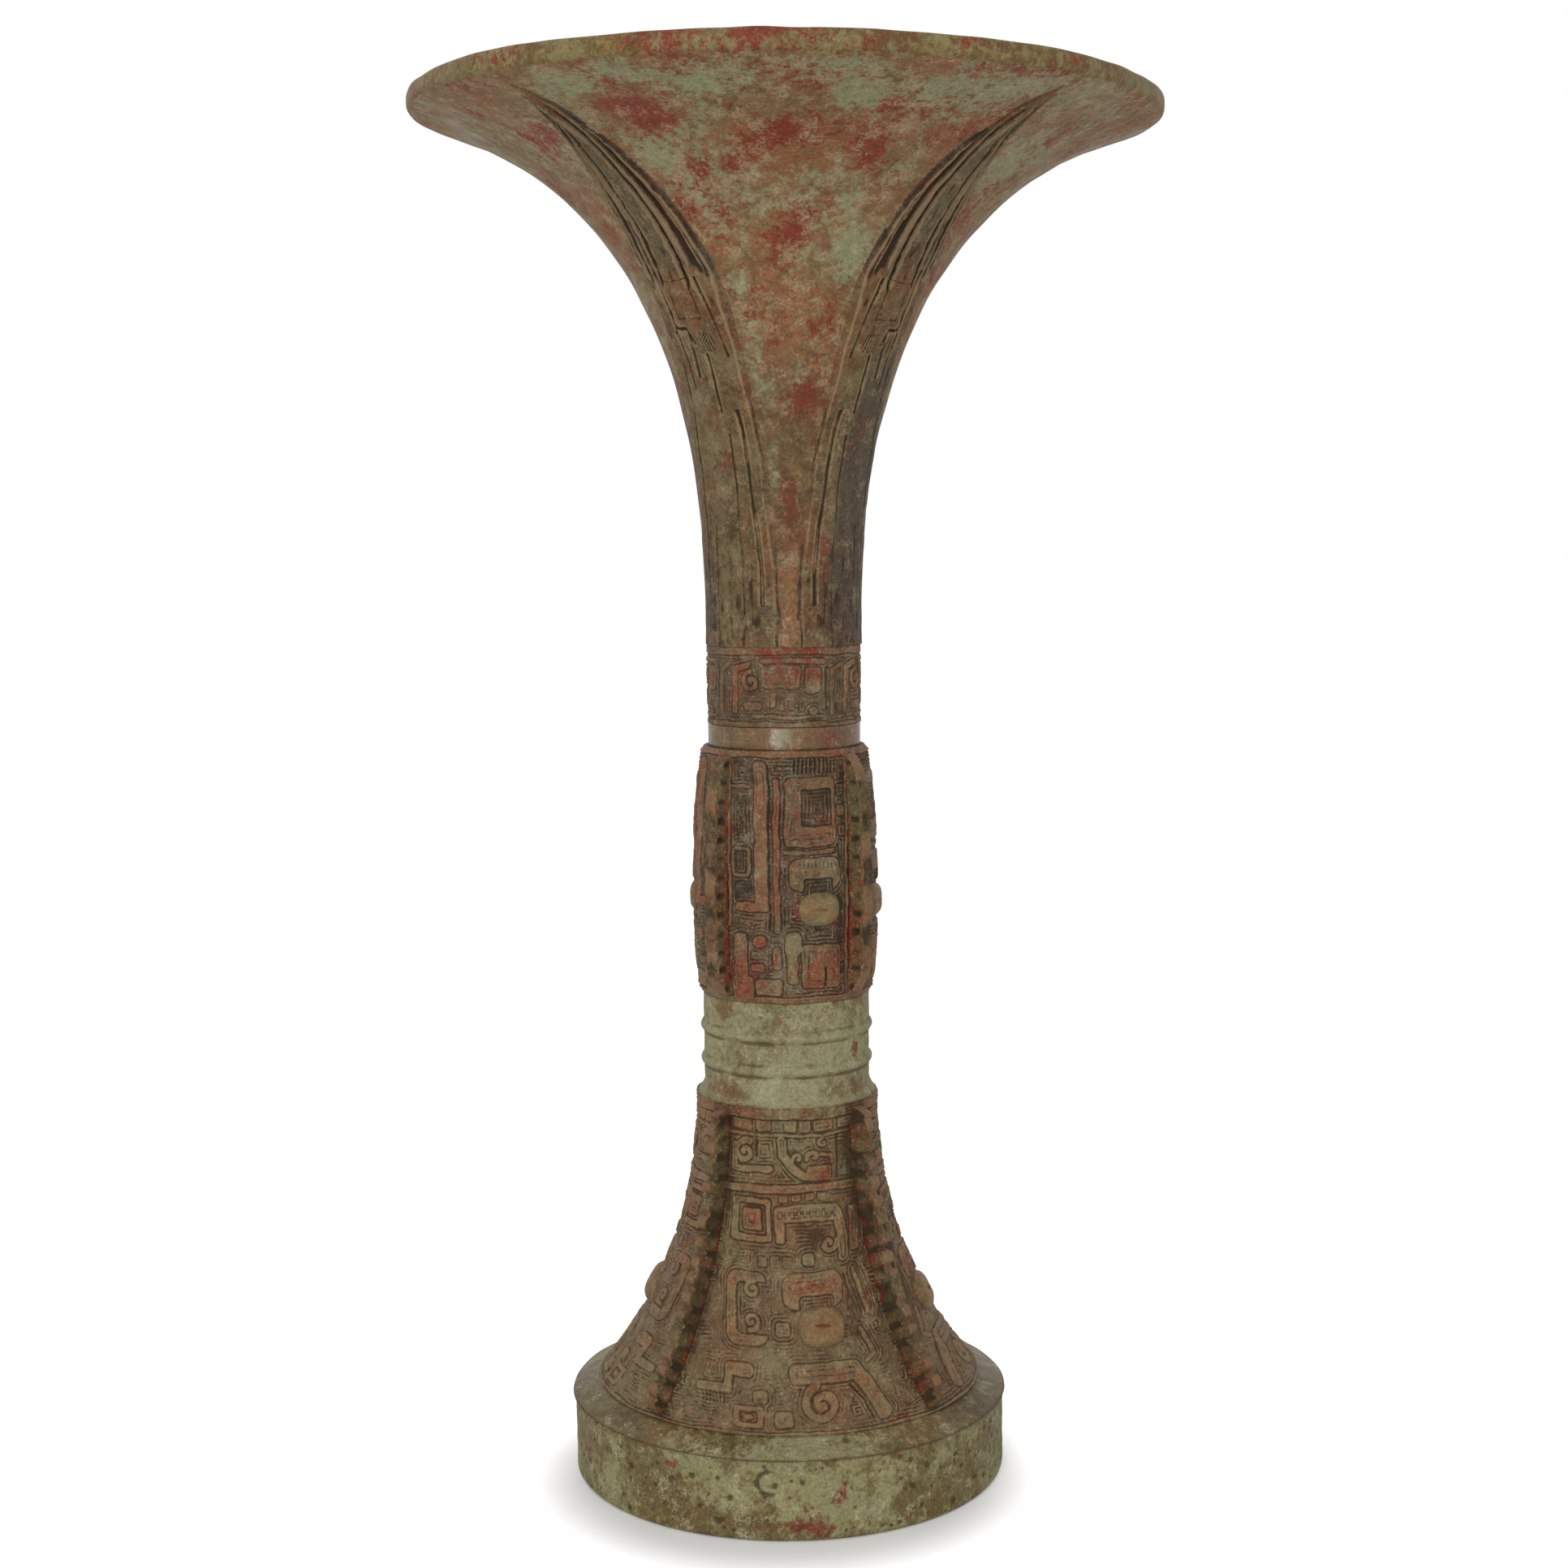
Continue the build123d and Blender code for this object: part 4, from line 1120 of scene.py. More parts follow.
waist_floor = {
    "Ground": tone(92, 77, 61),
    "Shade": tone(70, 58, 46),
    "Warm": tone(104, 76, 54),
    "Green": tone(110, 101, 78),
    "Red": tone(112, 58, 42),
    "Pale": tone(134, 122, 102),
    "Warm Cover": 0.36,
    "Green Cover": 0.34,
    "Red Cover": 0.24,
    "Pale Cover": 0.34,
    "Softness": 0.18,
    "Glint": 0.4,
}
waist_warms = [
    (0, 54.5, 20, 1.8, 0.36),
    (0, 0.5, 20, 1.6, 0.36),
    (-6, 36, 2, 18, 0.24),
    (4, 42, 7, 8, 0.12),
    (7, 8, 5, 5, 0.4),
    (-10.5, 8, 2.5, 7, 0.2),
]
waist_reds = [
    (-2.7, 34, 0.9, 16, 0.3),
    (-8, 21.3, 4, 1.2, 0.28),
    (7, 8, 4, 4, 0.12),
    (-6.4, 13.6, 1.8, 1.8, 0.45),
    (-13.4, 51, 2.5, 3, 0.34),
    (1.4, 21, 1, 3, 0.3),
    (12.5, 22, 1.5, 12, 0.2),
    (-11, 2.5, 3, 2, 0.1),
]
waist_greens = [
    (0.8, 13, 2.2, 3, 0.45),
    (0.6, 7, 1.6, 4, 0.35),
    (6, 29, 6, 2.5, 0.24),
    (-4.6, 3.8, 3, 2, 0.24),
    (-2.7, 34, 0.9, 16, -0.3),
    (7, 8, 4, 4, -0.2),
]
waist_earth_shade_wear = {"Soil And Shade": tone(40, 33, 25), "Metal": tone(130, 98, 70), "Darkening Cover": 0.78, "Wear": 0.3}
waist_bronze = bronze("waist_bronze", waist_face, waist_floor, waist_earth_shade_wear)
waist_crusts = {"warm_spots": waist_warms, "red_spots": waist_reds, "green_spots": waist_greens}
waist_masks = carved_masks(waist_height, flat_x, flat_y, waist_dark, waist_crusts, waist_plain)
from_end = np.minimum(flat_y, waist_up[-1] - flat_y)
waist_height = waist_height - END_DROP * (1 - np.clip(from_end / END_REACH, 0, 1)) ** 2
for side, degrees in PANEL_TURNS.items():
    hand = -1 if side in MIRRORED_PANELS else 1
    rise = np.concatenate([waist_height[:, ::hand], waist_plain])
    masks = {label: mask[:, ::hand] for label, mask in waist_masks.items()}
    points = turned(waist_line, waist_quarter + math.radians(degrees), rise, waist_out)
    panel = grid_piece("waist_panel_" + side, points, waist_bronze, True, False, masks)
    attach(panel, "root")
    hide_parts("waist")


# Trumpet
# The tall flaring mouth with its rounded lip, cast in one wall with the spigot that goes down into
# the waist: plain bronze clouded grey green and cuprite red, with an olive lip, painted shadow under
# the lip and a darker band round the neck. The mouth stands a little tipped to the right.

NECK_RADIUS = 16.8
NECK_LOW = 184.1
MOUTH_LOW = 189.9
MOUTH_HANDLE = (16.8, 287.9)
LIP_HANDLE = (75.06, 292.3)
LIP_FOOT = (79.0, 295.85)
LIP_INNER = (77.46, 297.56)
LIP_INNER_HANDLE = (73.52, 294.01)
COLLAR_TOP = 167.1
BAND_GROUND = 16.4
VESSEL_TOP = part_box("trumpet")[1][2] / MM
MOUTH_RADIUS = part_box("trumpet")[1][0] / MM
SPIGOT_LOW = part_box("trumpet")[0][2] / MM
MOUTH_COLUMNS = 480
MOUTH_LEAN = 0.0122
LEAN_LEVELS = (190, 230)
LEAN_PIVOT = 210
LIP_SWELL_LEVELS = (288, 296)
LIP_SHADOW = 0.28
NECK_DARKENING = 0.6
NECK_DARKENING_LEVEL = 220
NECK_DARKENING_REACH = 36


def leaned(points):
    """The mouth's slight tip to the right, which grows from nothing above the neck."""
    start = np.clip((points[..., 2] - LEAN_LEVELS[0]) / (LEAN_LEVELS[1] - LEAN_LEVELS[0]), 0, 1)
    tip = MOUTH_LEAN * start * start * (3 - 2 * start)
    moved = points.copy()
    moved[..., 0] += tip * (points[..., 2] - LEAN_PIVOT)
    moved[..., 2] -= tip * points[..., 0]
    return moved


mouth_outer = cubic((NECK_RADIUS, MOUTH_LOW), MOUTH_HANDLE, LIP_HANDLE, LIP_FOOT, 120)
inner_handle = (CUP_BORE, MOUTH_HANDLE[1])
mouth_inner = cubic((CUP_BORE, MOUTH_LOW), inner_handle, LIP_INNER_HANDLE, LIP_INNER, 120)
trumpet_corners = [
    (CUP_BORE, SPIGOT_LOW, 0),
    (SPIGOT_RADIUS, SPIGOT_LOW, 0.2),
    (SPIGOT_RADIUS, WAIST_TOP, 0),
    (BAND_GROUND, WAIST_TOP, 0),
    (BAND_GROUND, NECK_LOW, 0),
    (NECK_RADIUS, NECK_LOW, 0.1),
    *[(r, z, 0) for r, z in mouth_outer[:-1]],
    (LIP_FOOT[0], LIP_FOOT[1], 0.6),
    (MOUTH_RADIUS, LIP_FOOT[1] + 0.7, 1.2),
    (MOUTH_RADIUS, VESSEL_TOP, 1.5),
    (LIP_INNER[0] + 0.3, VESSEL_TOP, 1.0),
    *[(r, z, 0) for r, z in mouth_inner[::-1]],
    (CUP_BORE, SPIGOT_LOW, 0),
]
trumpet_line = section_line(trumpet_corners, 0.9)[:-1]
trumpet_levels = trumpet_line[:, 1:]
mouth_angles = full_turn(MOUTH_COLUMNS)
trumpet_coords = around(trumpet_line[:, :1], mouth_angles, trumpet_levels)
outer_rows = np.arange(len(trumpet_line))[:, None] < np.argmax(trumpet_line[:, 1]) + 6
lip_rows = np.clip((trumpet_levels - LIP_FOOT[1] + 0.2) / 0.8, 0, 1)
lip_swell = np.interp(trumpet_levels, LIP_SWELL_LEVELS, (0, 1))
trumpet_rise = 0.16 * wander(trumpet_coords, 50, 61) * lip_swell
trumpet_rise = trumpet_rise + 0.05 * wander(trumpet_coords, 9, 62) * (trumpet_levels > NECK_LOW)
mouth_reds = [
    (-8, 284, 5, 3, 0.3),
    (-14, 280, 4, 3, 0.24),
    (-3, 285.5, 4, 2, 0.3),
    (4.5, 282, 3, 2, 0.28),
    (15, 282, 4, 3, 0.28),
    (15, 290, 3, 1.2, 0.26),
    (29, 285, 3, 2, 0.26),
    (0, 269, 6, 6, 0.3),
    (-23, 279, 3, 3, 0.26),
    (-31, 273, 3, 3, 0.24),
    (-5, 263, 5, 4, 0.24),
    (16, 254.5, 4, 4, 0.32),
    (11, 250, 4, 3, 0.26),
    (-15.5, 253, 4, 4, 0.24),
    (-8, 248, 4, 4, 0.2),
    (-12, 239, 4, 3, 0.24),
    (3.6, 235, 5, 5, 0.42),
    (11, 236, 4, 4, 0.22),
    (1, 216, 5, 4.5, 0.66),
    (-29, 288, 4, 1.6, 0.28),
    (-36, 290.5, 4, 1.4, 0.26),
    (-8, 299, 7, 2.5, 0.34),
    (-64, 288, 10, 5, 0.2),
    (118, 280, 16, 8, 0.2),
    (182, 270, 12, 10, 0.22),
    (160, 288, 9, 4, 0.24),
    (205, 250, 12, 9, 0.24),
    (250, 286, 14, 6, 0.2),
    (60, 270, 8, 8, 0.16),
]
mouth_greens = [
    (-21, 257.5, 5, 5, 0.28),
    (21, 264.6, 5, 5, 0.42),
    (-18, 242, 6, 7, 0.28),
    (-12, 237, 5, 4, 0.22),
    (6, 240, 4, 3, 0.26),
    (-8, 224, 4, 6, 0.24),
    (-27, 278, 5, 4, 0.28),
    (-32, 283, 4, 3, 0.28),
    (-37, 293, 7, 1.8, 0.3),
    (-27, 294, 8, 1.4, 0.3),
    (-15, 292.5, 8, 2, 0.24),
    (3, 294, 8, 1.4, 0.28),
    (11, 291, 5, 2, 0.24),
    (27, 292, 9, 2, 0.26),
    (16, 272, 4, 4, 0.24),
    # The two wide side greens are partly real crust and partly a painted reflection, greying the flare's
    # underside.
    (-80, 278, 26, 14, 0.18),
    (78, 282, 26, 14, 0.2),
    (150, 250, 16, 14, 0.24),
    (200, 286, 22, 6, 0.24),
    (0, 216, 6, 8, -0.3),
    (0, 284, 9, 4, -0.2),
    (0, 195, 60, 12, -0.1),
    (0, 232, 30, 18, -0.08),
    (0, 294, 60, 4, 0.14),
]
mouth_warms = [
    (0, 205, 30, 16, 0.06),
    (16, 252, 9, 8, 0.14),
    (-6, 282, 16, 5, 0.14),
    (2, 266, 12, 8, 0.1),
    (60, 277, 14, 10, 0.1),
]
# Painted shadow in a line under the lip, and a darker band round the neck and the low mouth.
trumpet_darkening = LIP_SHADOW * close_to(trumpet_levels, LIP_FOOT[1], 0.5)
trumpet_darkening = trumpet_darkening + NECK_DARKENING * close_to(trumpet_levels, NECK_DARKENING_LEVEL, NECK_DARKENING_REACH)
trumpet_masks = {
    "red_spots": spots(mouth_angles, trumpet_levels, mouth_reds),
    "green_spots": spots(mouth_angles, trumpet_levels, mouth_greens),
    "warm_spots": spots(mouth_angles, trumpet_levels, mouth_warms),
    "relief": lip_rows * outer_rows + 0 * mouth_angles,
    "hollow": trumpet_darkening * outer_rows + 0 * mouth_angles,
}
mouth_tones = {
    "Ground": tone(134, 113, 77),
    "Shade": tone(108, 84, 55),
    "Warm": tone(133, 91, 60),
    "Green": tone(138, 139, 106),
    "Red": tone(122, 55, 37),
    "Pale": tone(164, 146, 118),
    "Warm Cover": 0.48,
    "Green Cover": 0.34,
    "Red Cover": 0.35,
    "Pale Cover": 0.37,
    "Breadth": 1.5,
    "Softness": 0.15,
}
lip_tones = {
    "Ground": tone(122, 107, 64),
    "Shade": tone(98, 81, 47),
    "Warm": tone(104, 76, 45),
    "Green": tone(126, 117, 80),
    "Red": tone(120, 58, 41),
    "Pale": tone(142, 128, 98),
    "Warm Cover": 0.5,
    "Green Cover": 0.4,
    "Red Cover": 0.36,
    "Pale Cover": 0.3,
    "Softness": 0.13,
}
mouth_shade_and_darkening = {"Soil And Shade": tone(74, 58, 40)}
mouth_bronze = bronze("mouth_bronze", lip_tones, mouth_tones, mouth_shade_and_darkening, rough=(0.46, 0.66))
trumpet_points = leaned(turned(trumpet_line, mouth_angles, trumpet_rise))
trumpet = grid_piece("trumpet_wall", trumpet_points, mouth_bronze, True, True, trumpet_masks)
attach(trumpet, "root")
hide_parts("trumpet")


# Collar
# The plain ring between the neck band and the waist, cast with the trumpet: the smoothest bronze on
# the vessel, rubbed to a soft shine, brown with olive in front and red at the right.

COLLAR_RADIUS = 16.7
COLLAR_BORE = BAND_GROUND - 0.4

collar_corners = [
    (COLLAR_BORE, WAIST_TOP, 0),
    (COLLAR_RADIUS - 0.1, WAIST_TOP, 0.1),
    (COLLAR_RADIUS, WAIST_TOP + 0.8, 0.4),
    (COLLAR_RADIUS, COLLAR_TOP, 0.5),
    (COLLAR_BORE, COLLAR_TOP, 0),
    (COLLAR_BORE, WAIST_TOP, 0),
]
collar_line = section_line(collar_corners, 0.3)[:-1]
collar_levels = collar_line[:, 1:]
collar_coords = around(COLLAR_RADIUS, turned_angles, collar_levels)
# Darker at both ends of the collar.
collar_ends = close_to(collar_levels, COLLAR_TOP, 0.5) + close_to(collar_levels, WAIST_TOP, 0.6)
collar_tones = {
    "Ground": tone(112, 92, 59),
    "Shade": tone(92, 71, 46),
    "Warm": tone(118, 82, 54),
    "Green": tone(124, 114, 82),
    "Red": tone(112, 58, 41),
    "Warm Cover": 0.46,
    "Green Cover": 0.34,
    "Red Cover": 0.28,
}
collar_greens = [(-3, 165, 7, 3, 0.4), (40, 165, 20, 3, -0.2), (190, 165, 20, 3, 0.3)]
collar_reds = [(34, 165, 16, 2.5, 0.3), (10, 164, 6, 2, 0.2), (140, 165, 14, 3, 0.3)]
collar_masks = {
    "hollow": 0.7 * collar_ends + 0 * turned_angles,
    "green_spots": spots(turned_angles, collar_levels, collar_greens),
    "red_spots": spots(turned_angles, collar_levels, collar_reds),
}
collar_darkening = {"Soil And Shade": tone(60, 46, 32), "Darkening Cover": 0.6}
collar_shine = {"rough": (0.16, 0.3), "bump": 0.1, "gloss": 0.42}
collar_bronze = bronze("collar_bronze", collar_tones, earth_shade_settings=collar_darkening, **collar_shine)
collar_points = turned(collar_line, turned_angles, 0.03 * wander(collar_coords, 8, 63))
collar = grid_piece("trumpet_collar", collar_points, collar_bronze, True, True, collar_masks)
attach(collar, "root")
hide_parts("trumpet")


# Neck band
# The narrow band of small coiled snakes between the collar and the blades, cast with the trumpet:
# low worn relief, earth and painted shade on its ground, with red and brown on the raised lines.

NECK_BAND_COLUMNS = 800
NECK_BAND_STEP = 0.17
NECK_BAND_RADIUS = 16.65
NECK_BAND_BORE = BAND_GROUND - 0.3
NECK_BAND_RELIEF = 0.7

neck_rows = round((NECK_LOW - COLLAR_TOP) / NECK_BAND_STEP)
neck_levels = np.linspace(COLLAR_TOP, NECK_LOW, neck_rows + 1)
neck_wall = np.stack([np.full_like(neck_levels, NECK_BAND_RADIUS), neck_levels], 1)
neck_back = np.array([(NECK_BAND_BORE, NECK_LOW), (NECK_BAND_BORE, COLLAR_TOP)])
neck_line = np.concatenate([neck_wall, neck_back])
neck_plain = np.zeros((len(neck_back), NECK_BAND_COLUMNS))
neck_angles = full_turn(NECK_BAND_COLUMNS)
within = (neck_angles + math.pi / 4) % (math.pi / 2) - math.pi / 4
flat_x = NECK_BAND_RADIUS * within + 0 * neck_levels[:, None]
flat_y = neck_levels[:, None] - COLLAR_TOP + 0 * flat_x
neck_round = around(NECK_BAND_RADIUS, neck_angles, flat_y)
x = flat_x + 0.12 * wander(neck_round, 6, 71) + 0.06 * wander(neck_round, 2, 74)
y = flat_y + 0.12 * wander(neck_round, 6, 72) + 0.06 * wander(neck_round, 2, 75)
head = slab(x, y, -5.4, 8.4, 2.8, 13.0, 0.8)
neck_motifs = [
    # Border lines
    (slab(x, y, -30, 15.4, 30, 20), 0.5),
    (slab(x, y, -30, -1, 30, 0.9), 0.5),
    (slab(x, y, -5.8, 13.6, 8.2, 14.5, 0.3), 0.5),
    # Coiled snake with its head, and fillers
    (stroke(x, y, coil(-7.8, 9.8, 2.2, 1.3, 100, 1), 0.5), 0.6),
    (stroke(x, y, [(-12.0, 3.4), (-11.8, 12.4), (-8.6, 13.4)], 0.6), 0.6),
    (head, 0.5),
    (slab(x, y, 4.0, 7.4, 7.6, 12.8, 0.8), 0.55),
    (slab(x, y, -3.6, 4, -2.5, 7.6, 0.4), 0.45),
    (slab(x, y, 0.4, 4, 1.5, 7.6, 0.4), 0.45),
    (np.hypot(x - 5.5, y - 3.4) - 0.9, 0.5),
    (stroke(x, y, [(10.2, 3), (10.2, 12.2), (12.4, 13.2)], 0.5), 0.5),
    (slab(x, y, -8, 1.8, 8, 2.5, 0.3), 0.4),
    (slab(x, y, -9.6, 3.6, -5.4, 5.2, 0.5), 0.45),
]
neck_cuts = [
    (slab(x, y, 8.5, 3.4, 9.2, 13.2, 0.2), 0.35),
    (np.abs(head + 0.9) - 0.12, 0.2),
    (slab(x, y, -6.3, 7.6, -5.8, 13, 0.2), 0.25),
]
neck_ground = np.clip(0.5 + 0.7 * np.cos(2 * math.pi * x / 1.15), 0, 1)
neck_worn = np.clip(0.85 + 0.16 * wander(neck_round, 6, 73), 0.45, 1.1)
neck_height = carved(neck_ground, neck_motifs, neck_cuts, neck_worn, neck_worn)
neck_rise = np.concatenate([NECK_BAND_RELIEF * neck_height, neck_plain])
straight_out = np.array([[1.0, 0.0]])
neck_points = turned(neck_line, neck_angles, neck_rise, straight_out)
neck_warms = [(-11.6, 9, 2, 5, 0.3), (-2, 14.6, 8, 1.2, 0.24), (-1, 10.6, 5, 2.4, 0.16)]
neck_reds = [
    (-4, 15.8, 3, 1, 0.3),
    (5, 15.6, 2.5, 1.4, 0.3),
    (-11, 12, 2, 2, 0.24),
    (8, 1, 4, 1, 0.2),
    (4, 10, 4, 3, 0.14),
]
neck_greens = [(9, 8, 3, 6, 0.2), (-2, 3, 6, 3, 0.12)]
neck_dark = [(10, 8, 3, 8, 0.4), (-8, 9, 1.6, 2, 0.4), (-12.6, 4, 1.5, 4, 0.3), (0, 3, 9, 2, 0.14)]
neck_shade = blots(flat_x, flat_y, neck_dark)
neck_crusts = {"warm_spots": neck_warms, "red_spots": neck_reds, "green_spots": neck_greens}
neck_masks = carved_masks(neck_height, flat_x, flat_y, neck_shade, neck_crusts, neck_plain)
neck_face = {
    **waist_face,
    "Ground": tone(112, 90, 64),
    "Shade": tone(88, 68, 48),
    "Red Cover": 0.34,
    "Glint": 0.2,
}
neck_floor = {**waist_floor, "Ground": tone(98, 80, 60), "Shade": tone(78, 63, 47), "Glint": 0.3}
neck_earth_shade_wear = {"Soil And Shade": tone(48, 38, 27), "Metal": tone(128, 99, 72), "Darkening Cover": 0.72, "Wear": 0.3}
neck_bronze = bronze("neck_bronze", neck_face, neck_floor, neck_earth_shade_wear)
neck_band = grid_piece("trumpet_neck_band", neck_points, neck_bronze, True, True, neck_masks)
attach(neck_band, "root")
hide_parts("trumpet")


# Leaf blades
# Four tall leaves that rise from the neck band to just under the lip, over the flanges' lines, cast
# with the trumpet: a long point with two deep grooves on each side, a square knot with a stepped
# foot under it, and a stem with broken upright lines. The grooves hold earth and painted shade, a
# painted shadow runs along the outline, the ridges are lightened as wear and as a painted highlight,
# and the stems are partly dark patina and partly painted shade.

BLADE_TURNS = {"front_right": 45, "back_right": 135, "back_left": 225, "front_left": 315}
MIRRORED_BLADES = ("front_right", "back_left")
BLADE_RUN = (0, 17, 34, 51, 65, 81, 90, 105, 119, 127, 132, 135.5)
BLADE_HALF = (11.0, 10.8, 9.9, 9.1, 9.0, 10.0, 9.0, 6.9, 3.8, 1.9, 1.0, 0.3)
DRIFT_RUN = (0, 60, 100, 135)
DRIFT_TURNS = (1.6, 0.8, -1.8, -2.2)
BLADE_STEP = 0.21
BLADE_COLUMNS = 112
BLADE_BACKS = 12
BLADE_SINK = 0.5
BLADE_EDGE_SINK = 0.1
PROUD_RUN = (0, 45, 70, 85, 120, 131, 135.5)
PROUD_HEIGHTS = (0.4, 0.5, 1.0, 1.6, 1.4, 0.6, 0.2)
OUTLINE_WIDTH = 0.9
LEAF_PART = (80, 128)
GROOVE_LANES = (0.37, 0.7)
GROOVE_WIDTHS = (0.6, 0.65)
GROOVE_DEPTHS = (0.95, 0.8)
HAIR_LANES = (0.5, 0.84)
HAIR_DEPTH = 0.22
BOW_DEPTH = 0.3
HALF_SMOOTHINGS = 3
HALF_REACH = 20
STEM_LINES = (
    ([(3.2, 45), (3.4, 25), (3.6, 7)], 0.2, 0.5),
    ([(6.2, 50), (6.8, 38), (7.6, 18), (7.8, 9)], 0.32, 0.9),
    ([(-6.4, 60), (-6.7, 37), (-7.0, 8)], 0.24, 0.55),
    ([(-8.4, 66), (-7.6, 50)], 0.3, 0.6),
    ([(-1.8, 66.4), (-1.3, 57.5)], 0.3, 0.8),
    ([(1.6, 62), (2.5, 50)], 0.28, 0.7),
    ([(5.6, 79), (5.9, 70), (6.6, 62)], 0.26, 0.6),
    ([(-5.0, 67.6), (-4.2, 62), (-4.0, 55)], 0.24, 0.55),
    ([(-3.4, 26), (-3.6, 8)], 0.16, 0.35),
    ([(-5.2, 20), (-5.3, 4)], 0.16, 0.4),
    ([(5.4, 17), (5.5, 5)], 0.18, 0.4),
    ([(0.4, 14), (0.3, 4)], 0.16, 0.3),
    ([(-9.4, 30), (-9.7, 4)], 0.2, 0.4),
)

neck_curve = np.concatenate([[(NECK_RADIUS, NECK_LOW)], mouth_outer])
blade_wall, blade_up = evenly(neck_curve, BLADE_STEP)
blade_rows = blade_up <= BLADE_RUN[-1]
blade_wall, blade_up = blade_wall[blade_rows], blade_up[blade_rows]
blade_side = outward(blade_wall, False)
half = np.interp(blade_up, BLADE_RUN, BLADE_HALF)
half_span = 2 * HALF_REACH + 1
for smoothing in range(HALF_SMOOTHINGS):
    half = np.convolve(np.pad(half, HALF_REACH, mode="edge"), np.ones(half_span) / half_span, mode="valid")
half = half[:, None]
reach_out = half + OUTLINE_WIDTH
share = np.linspace(-1, 1, BLADE_COLUMNS)
flat_x = reach_out * share
flat_y = blade_up[:, None] + 0 * flat_x
x = flat_x + 0.16 * wander((flat_x, 0.5 * flat_y), 5, 81)
y = flat_y + 0.2 * wander((flat_x, flat_y), 5, 82)
edge = np.abs(x) - half
lane = np.abs(x) / half
leaf_foot = LEAF_PART[0] + 1.6 * wander((flat_x,), 5, 89)
leaf_part = inside(leaf_foot - y, 3.5) * inside(y - LEAF_PART[1], 8)
blade_height = 0.9 + 0.07 * wander((flat_x, 0.3 * flat_y), 4, 83)
blade_height = blade_height + 0.04 * wander((flat_x, 0.5 * flat_y), 1.6, 86)
inner_lane, outer_lane = GROOVE_LANES
middle = (inner_lane + outer_lane) / 2
bow = np.where(lane < inner_lane, lane / inner_lane, (lane - middle) / (outer_lane - middle))
blade_height = blade_height - BOW_DEPTH * leaf_part * np.clip(bow, -1, 1) ** 2
uneven = np.clip(0.85 + 0.3 * wander((flat_x, 0.25 * flat_y), 6, 87), 0.3, 1)
for place_across, width, depth in zip(GROOVE_LANES, GROOVE_WIDTHS, GROOVE_DEPTHS):
    in_groove = inside(np.abs(lane - place_across) * half - width, 0.7)
    blade_height = blade_height - depth * uneven * leaf_part * in_groove
hair = sum(inside(np.abs(lane - place_across) * half - 0.1, 0.3) for place_across in HAIR_LANES)
blade_height = blade_height - HAIR_DEPTH * leaf_part * hair
broken = np.clip(0.85 + 0.35 * wander((flat_x, 0.4 * flat_y), 7, 84), 0.3, 1)
for marks, width, depth in STEM_LINES:
    blade_height = blade_height - depth * broken * inside(stroke(x, y, marks, width), 0.4)
knot = slab(x, y, -4.4, 69.0, 4.4, 80.2, 0.5)
knot_side = np.abs(x + 4.8) + np.maximum(np.abs(y - 75) - 7, 0)
knot_foot = stroke(x, y, [(-4.9, 69.6), (-4.3, 68.2), (-1.9, 67.6), (-0.8, 64.6)], 0.0)
blade_height = blade_height - 0.6 * inside(np.minimum(knot_side, knot_foot) - 0.22, 0.4)
blade_height = blade_height - 0.2 * inside(np.abs(knot + 1.3) - 0.1, 0.25)
slant = np.abs(((x + 0.25 * y) / 0.8) % 1 - 0.5) * 0.8
for hatched, width, depth in (
    (slab(x, y, 0.6, 62.6, 4.4, 66.8, 0.2), 0.14, 0.45),
    (slab(x, y, -4.6, 63.4, -1.4, 66.4, 0.2), 0.12, 0.3),
):
    blade_height = blade_height - depth * inside(np.maximum(hatched, slant - width), 0.22)
raised = inside(edge + 0.35, 0.9)
blade_height = np.interp(flat_y, PROUD_RUN, PROUD_HEIGHTS) * blade_height * raised + 0.04
# Painted shadow along the raised outline of the blade: ragged on the stem, strong along the leaf.
outline = inside(np.abs(edge + 0.05) - 0.2 - 0.25 * leaf_part, 0.5)
blade_near = local_mean(blade_height, 4)
blade_far = local_mean(blade_height, 10)
blade_hollow = np.clip((blade_near - blade_height) / 0.2, 0, 1)
blade_hollow = blade_hollow + np.clip((blade_far - blade_height) / 0.5, 0, 0.6)
blade_hollow = blade_hollow * inside(edge + 0.6, 0.4)
ragged_outline_shadow = np.clip(0.35 + 0.5 * wander((flat_x, 0.4 * flat_y), 9, 85), 0, 1)
ragged_outline_shadow = np.maximum(ragged_outline_shadow, 0.75 * inside(84 - flat_y, 8))
blade_hollow = np.maximum(blade_hollow, 0.8 * outline * ragged_outline_shadow)
streaks = np.clip(wander((flat_x, 0.22 * flat_y), 1.2, 88) - 0.3, 0, 1) * inside(flat_y - 24, 24)
blade_hollow = np.maximum(blade_hollow, 0.6 * streaks)
blade_warms = [
    (0, 128, 6, 7, 0.34),
    (0, 74.5, 4.5, 5, 0.5),
    (7.6, 88, 2, 12, 0.3),
    (7.6, 64, 2.8, 16, 0.4),
    (9.5, 20, 2, 18, 0.2),
]
blade_reds = [
    (5.5, 104, 2, 7, 0.24),
    (9.6, 58, 1.5, 9, 0.24),
    (5.6, 20, 1.2, 14, 0.2),
    (-9, 100, 2, 8, 0.1),
]
blade_greens = [
    (0, 36, 5, 14, 0.1),
    (0, 98, 2.2, 14, 0.34),
    (-5, 100, 1.6, 14, 0.16),
    (-2, 52, 5, 7, 0.16),
]
